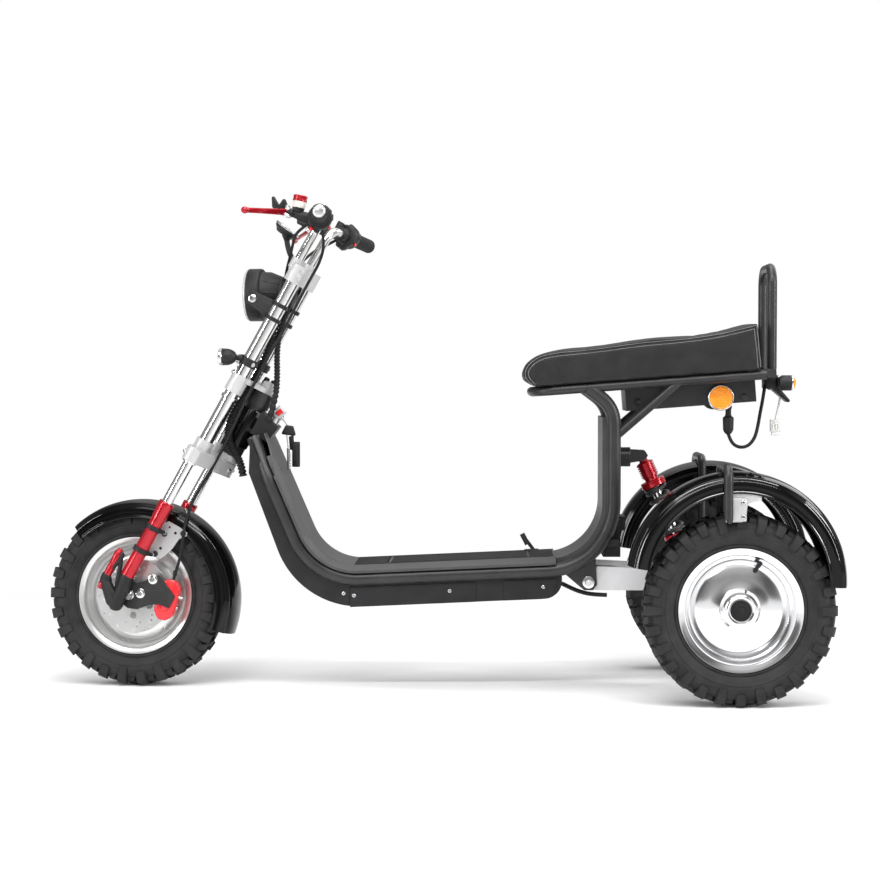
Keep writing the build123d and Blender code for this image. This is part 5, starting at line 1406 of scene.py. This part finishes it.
def make_hoops():
    """Hoops over the rear fenders, their flattened feet, bright plates and bolts."""
    bars, plates, bolts, pans = Shape(), Shape(), [], []
    for side in (1, -1):
        path = rounded([(-650, side * 195, 268), (-650, side * 195, 533.4), (-650, side * 357, 533.4),
            (-650, side * 357, 420)], (28, 28), 10)
        bars.tube(path, 10, 28)
        bars.hull((-650, side * 353, 440, 9), (-652, side * 351, 416, 5), (-655, side * 351, 416, 5))
        plates.hull((-654, side * 346, 466, 3), (-654, side * 346, 417, 3), (-688, side * 346, 419, 3),
            (-688, side * 346, 464, 3))
        low, high = sorted((side * 338.0, side * 342.0))
        plates.plate([(-646, 414), (-682, 414), (-690, 428), (-694, 454), (-704, 459), (-724, 462),
            (-724, 488), (-700, 486), (-646, 488)], low, high)
        pans += sideways(side, (-683.5, 349, 458), (-683.6, 349, 426))
        bolts.append(((-650, side * 195, 543), (0, 0, 1)))
    bars.piece("hoop_bars", "frame_black", "chassis", "fender_hoops")
    plates.piece("hoop_plates", "pale_alloy", "chassis", "fender_hoops", slot="frame_black")
    pan_screws("hoop_screws", ROOT, pans, 5.2, "steel", "chassis")


def make_tail():
    """Lamp block, bracket and turn signals behind the backrest."""
    x, z = -792.5, 739.7
    body, lens, rim, amber = Shape(), Shape(), Shape(), Shape()
    body.box((x - 8, x + 20), (-30, 30), (z - 34, z - 4), 3)
    body.hull((x, 24, z - 30, 5), (x, -24, z - 30, 5), (x - 36, 22, z - 62, 4),
        (x - 36, -22, z - 62, 4), (x - 8, 24, z - 30, 4), (x - 8, -24, z - 30, 4))
    body.box((x - 27, x - 8), (-40, 40), (z - 34, z - 6), 3)
    lens.hull((x - 30, 35, z - 29, 4), (x - 30, -35, z - 29, 4), (x - 30, 35, z - 11, 4),
        (x - 30, -35, z - 11, 4), (x - 24, 37, z - 31, 2.5), (x - 24, -37, z - 31, 2.5),
        (x - 24, 37, z - 9, 2.5), (x - 24, -37, z - 9, 2.5))
    body.tube([(x - 20, y, z - 20) for y in (-104, -60, 0, 60, 104)], 6, 20)
    for side in (1, -1):
        y = side * 110
        body.turn((x - 30, y, z - 20), AHEAD, [(0, 17), (0.5, 17.9), (22, 17.9), (28, 14), (30, 8)], 44)
        rim.turn((x - 32, y, z - 20), AHEAD, [(-1, 16.4), (-1, 17.6), (2.4, 17.9), (3, 17)], 44)
        amber.turn((x - 40, y, z - 20), AHEAD, [(0, 0.01), (0.6, 7), (3, 12.5), (6, 15.5), (9, 16.4),
            (12, 16.4)], 44)
        body.tube([(x - 20, y - side * 6, z - 20), (x - 20, y - side * 26, z - 20)], 8, 20)
    body.piece("tail_body", "black_plastic", "chassis", "tail_lamps")
    lens.piece("tail_lens", "red_plastic", "chassis", slot="black_plastic")
    rim.piece("tail_signal_rims", "chrome", "chassis")
    amber.piece("tail_signal_lenses", "amber", "chassis", slot="black_plastic")


def make_box_fittings():
    """Reflectors and bolts on the box under the seat."""
    rim, lens = Shape(SEAT), Shape(SEAT)
    for side in (1, -1):
        spot = Vector((-307, side * 74, -46))
        rim.turn(spot, (0, side, 0), [(14.2, 26.8), (15.8, 27.2), (16.2, 28.4), (15.4, 29.6),
            (13.0, 30), (2, 30), (1.8, 29.1), (14.2, 29.1)], 56, loop=True)
        ring = [(13.6, 26.9), (14.9, 26.7)]
        for k in range(5):
            ring += [(15.3, 24.8 - 4.8 * k), (14.7, 23.4 - 4.8 * k), (15.3, 22.0 - 4.8 * k)]
        lens.turn(spot, (0, side, 0), ring + [(15.3, 0.01)], 56)
    rim.piece("reflector_rims", "steel", "chassis")
    lens.piece("reflector_lenses", "amber", "chassis", slot="black_plastic")
    bolts = [bolt for side in (1, -1) for bolt in sideways(side, (-718.2, 75, 687.3), (-470, 75, 675))]
    screws("box_bolts", ROOT, bolts, 6.0, 6.0, "frame_black", "chassis")


# ---------------------------------------------------------------- deck and neck
DECK_SLOPE = radians(2.6)
DECK_REAR_X, DECK_REAR_Z = -413.5, 290.7
RIB_RISE = 31.0                    # height of the ribs' middle over the deck's line


def deck_spot(x, above):
    """Height of a spot that stands square off the sloping deck."""
    return DECK_REAR_Z - (x - DECK_REAR_X) * tan(DECK_SLOPE) + above / cos(DECK_SLOPE)


def make_deck():
    """Rubber ribs on the board and the lid, screws along the belly and the skirt."""
    board, lid = Shape(), Shape()
    for k in range(-10, 11):
        y = k * 9.0
        hole = abs(y) < 82
        for low, high, shape in (((-274, -222, board), (116, 190, board)) if hole
                else ((-274, 190, board),)):
            shape.hull(*[(x, y + s * 1.6, deck_spot(x, RIB_RISE), 1.5)
                for x in (low, high) for s in (-1, 1)])
        if hole and abs(y) < 76:
            lid.hull(*[(x, y + s * 1.6, deck_spot(x, RIB_RISE), 1.5)
                for x in (-213, 104) for s in (-1, 1)])
    board.piece("board_ribs", "rubber", "chassis")
    lid.piece("lid_ribs", "rubber", "deck_lid")
    screw_x_z = ((214.6, 229.5), (190.3, 224.5), (-32.8, 235.9), (-251, 245.8))
    spots, nuts = [], []
    for side in (1, -1):
        spots += sideways(side, *[(x, 113.5, z) for x, z in screw_x_z])
        nuts += sideways(side, (-356, 106, 256))
    pan_screws("belly_screws", ROOT, spots, 4.6, "steel", "chassis")
    screws("pivot_nuts", ROOT, nuts, 9.5, 9.0, "chrome", "chassis")


def make_key_bunch():
    """Ignition lock, keys, fob and strap, the red switch and the shroud round the neck."""
    metal, fob, strap, rocker, bezel = (Shape() for _ in range(5))
    metal.box((369, 384), (-2, 2), (640, 660), 1.2)
    ring = [(372 + 7 * cos(a), 0, 638 + 7 * sin(a)) for a in (tau * k / 24 for k in range(25))]
    metal.tube(ring, 1.1, 8)
    metal.hull((368, 0, 634, 1.4), (356, 0, 618, 1.4))
    fob.hull((345, 0, 613, 4), (340.5, 0, 597, 4), (366, 0, 600, 4), (358, 0, 615, 4))
    metal.tube([(346, 0, 595), (342, 0, 584), (338, 0, 575)], 1.3, 8)
    fob.hull((329.5, 0, 576, 3.4), (342, 0, 576, 3.4), (329.5, 0, 522, 3.4), (342, 0, 522, 3.4),
        (336, 3, 560, 3), (336, -3, 560, 3), (336, 3, 530, 3), (336, -3, 530, 3))
    metal.tube([(358, 0, 595), (356, 0, 578), (354, 0, 560)], 1.2, 8)
    metal.hull((350.5, 0, 563, 1.5), (356.5, 0, 563, 1.5), (349.5, 0, 514, 1.5), (355.5, 0, 514, 1.5))
    strap.hull((343, 0, 592, 2), (351, 0, 590, 2), (342, 0, 560, 2), (349, 0, 562, 2))
    metal.piece("key_metal", "steel", "chassis", "key_switch")
    fob.piece("key_fob", "black_plastic", "chassis", "key_switch", slot="steel")
    strap.piece("key_strap", "rubber", "chassis")
    rocker.hull((371, 19, 657, 1.5), (365, 19, 649, 1.5), (376, 19, 642, 1.5), (382, 19, 647, 1.5))
    bezel.hull((373, 16, 664, 2.4), (358.5, 16, 649, 2.4), (375, 16, 635.5, 2.4), (389, 16, 644, 2.4))
    bezel.hull((372, 10, 644, 4), (372, 16, 650, 4), (378, 2, 640, 4))
    bezel.piece("switch_bezel", "pale_alloy", "chassis", slot="steel")
    rocker.piece("switch_rocker", "red_plastic", "chassis", slot="black_plastic")
    cover = Shape(NECK)
    cover.turn((0, 0, -150), UP, [(0, 26.5), (0, 27.5), (90, 31), (92, 30), (92, 26.5)], 64)
    cover.hull((-8, 22, -58, 6), (-8, -22, -58, 6), (-8, 22, -104, 6), (-8, -22, -104, 6),
        (-64, 29, -69, 5), (-64, -29, -69, 5), (-61, 29, -103, 5), (-61, -29, -103, 5))
    cover.piece("neck_shroud", "gloss_black", "chassis", slot="black_plastic")
    lock = Shape(NECK)
    lock.turn((-52, 0, -66), UP, [(0, 12), (1, 14), (30, 14), (34, 12.5), (36, 12.5), (36, 4)], 36)
    lock.piece("key_lock", "steel", "chassis", "key_switch")


def make_dressing():
    """Everything that rides on the painted nodes apart from wheels and cables."""
    make_seat()
    make_fenders()
    make_wheel_fittings()
    make_headlamp()
    make_bar_ends()
    make_levers()
    make_display()
    make_signals()
    make_lower_fork()
    make_front_plates()
    make_front_caliper()
    make_crown_fittings()
    make_shock()
    make_hoops()
    make_tail()
    make_box_fittings()
    make_deck()
    make_key_bunch()


FINISHES = {name: finish(name, color, roughness, **more)
    for name, (color, roughness, more) in LOOKS.items()}
make_camera()
make_cables()
make_world()
make_lights()
make_floor()
paint_nodes()
make_wheels()
make_dressing()

bpy.context.scene.view_settings.view_transform = "Standard"
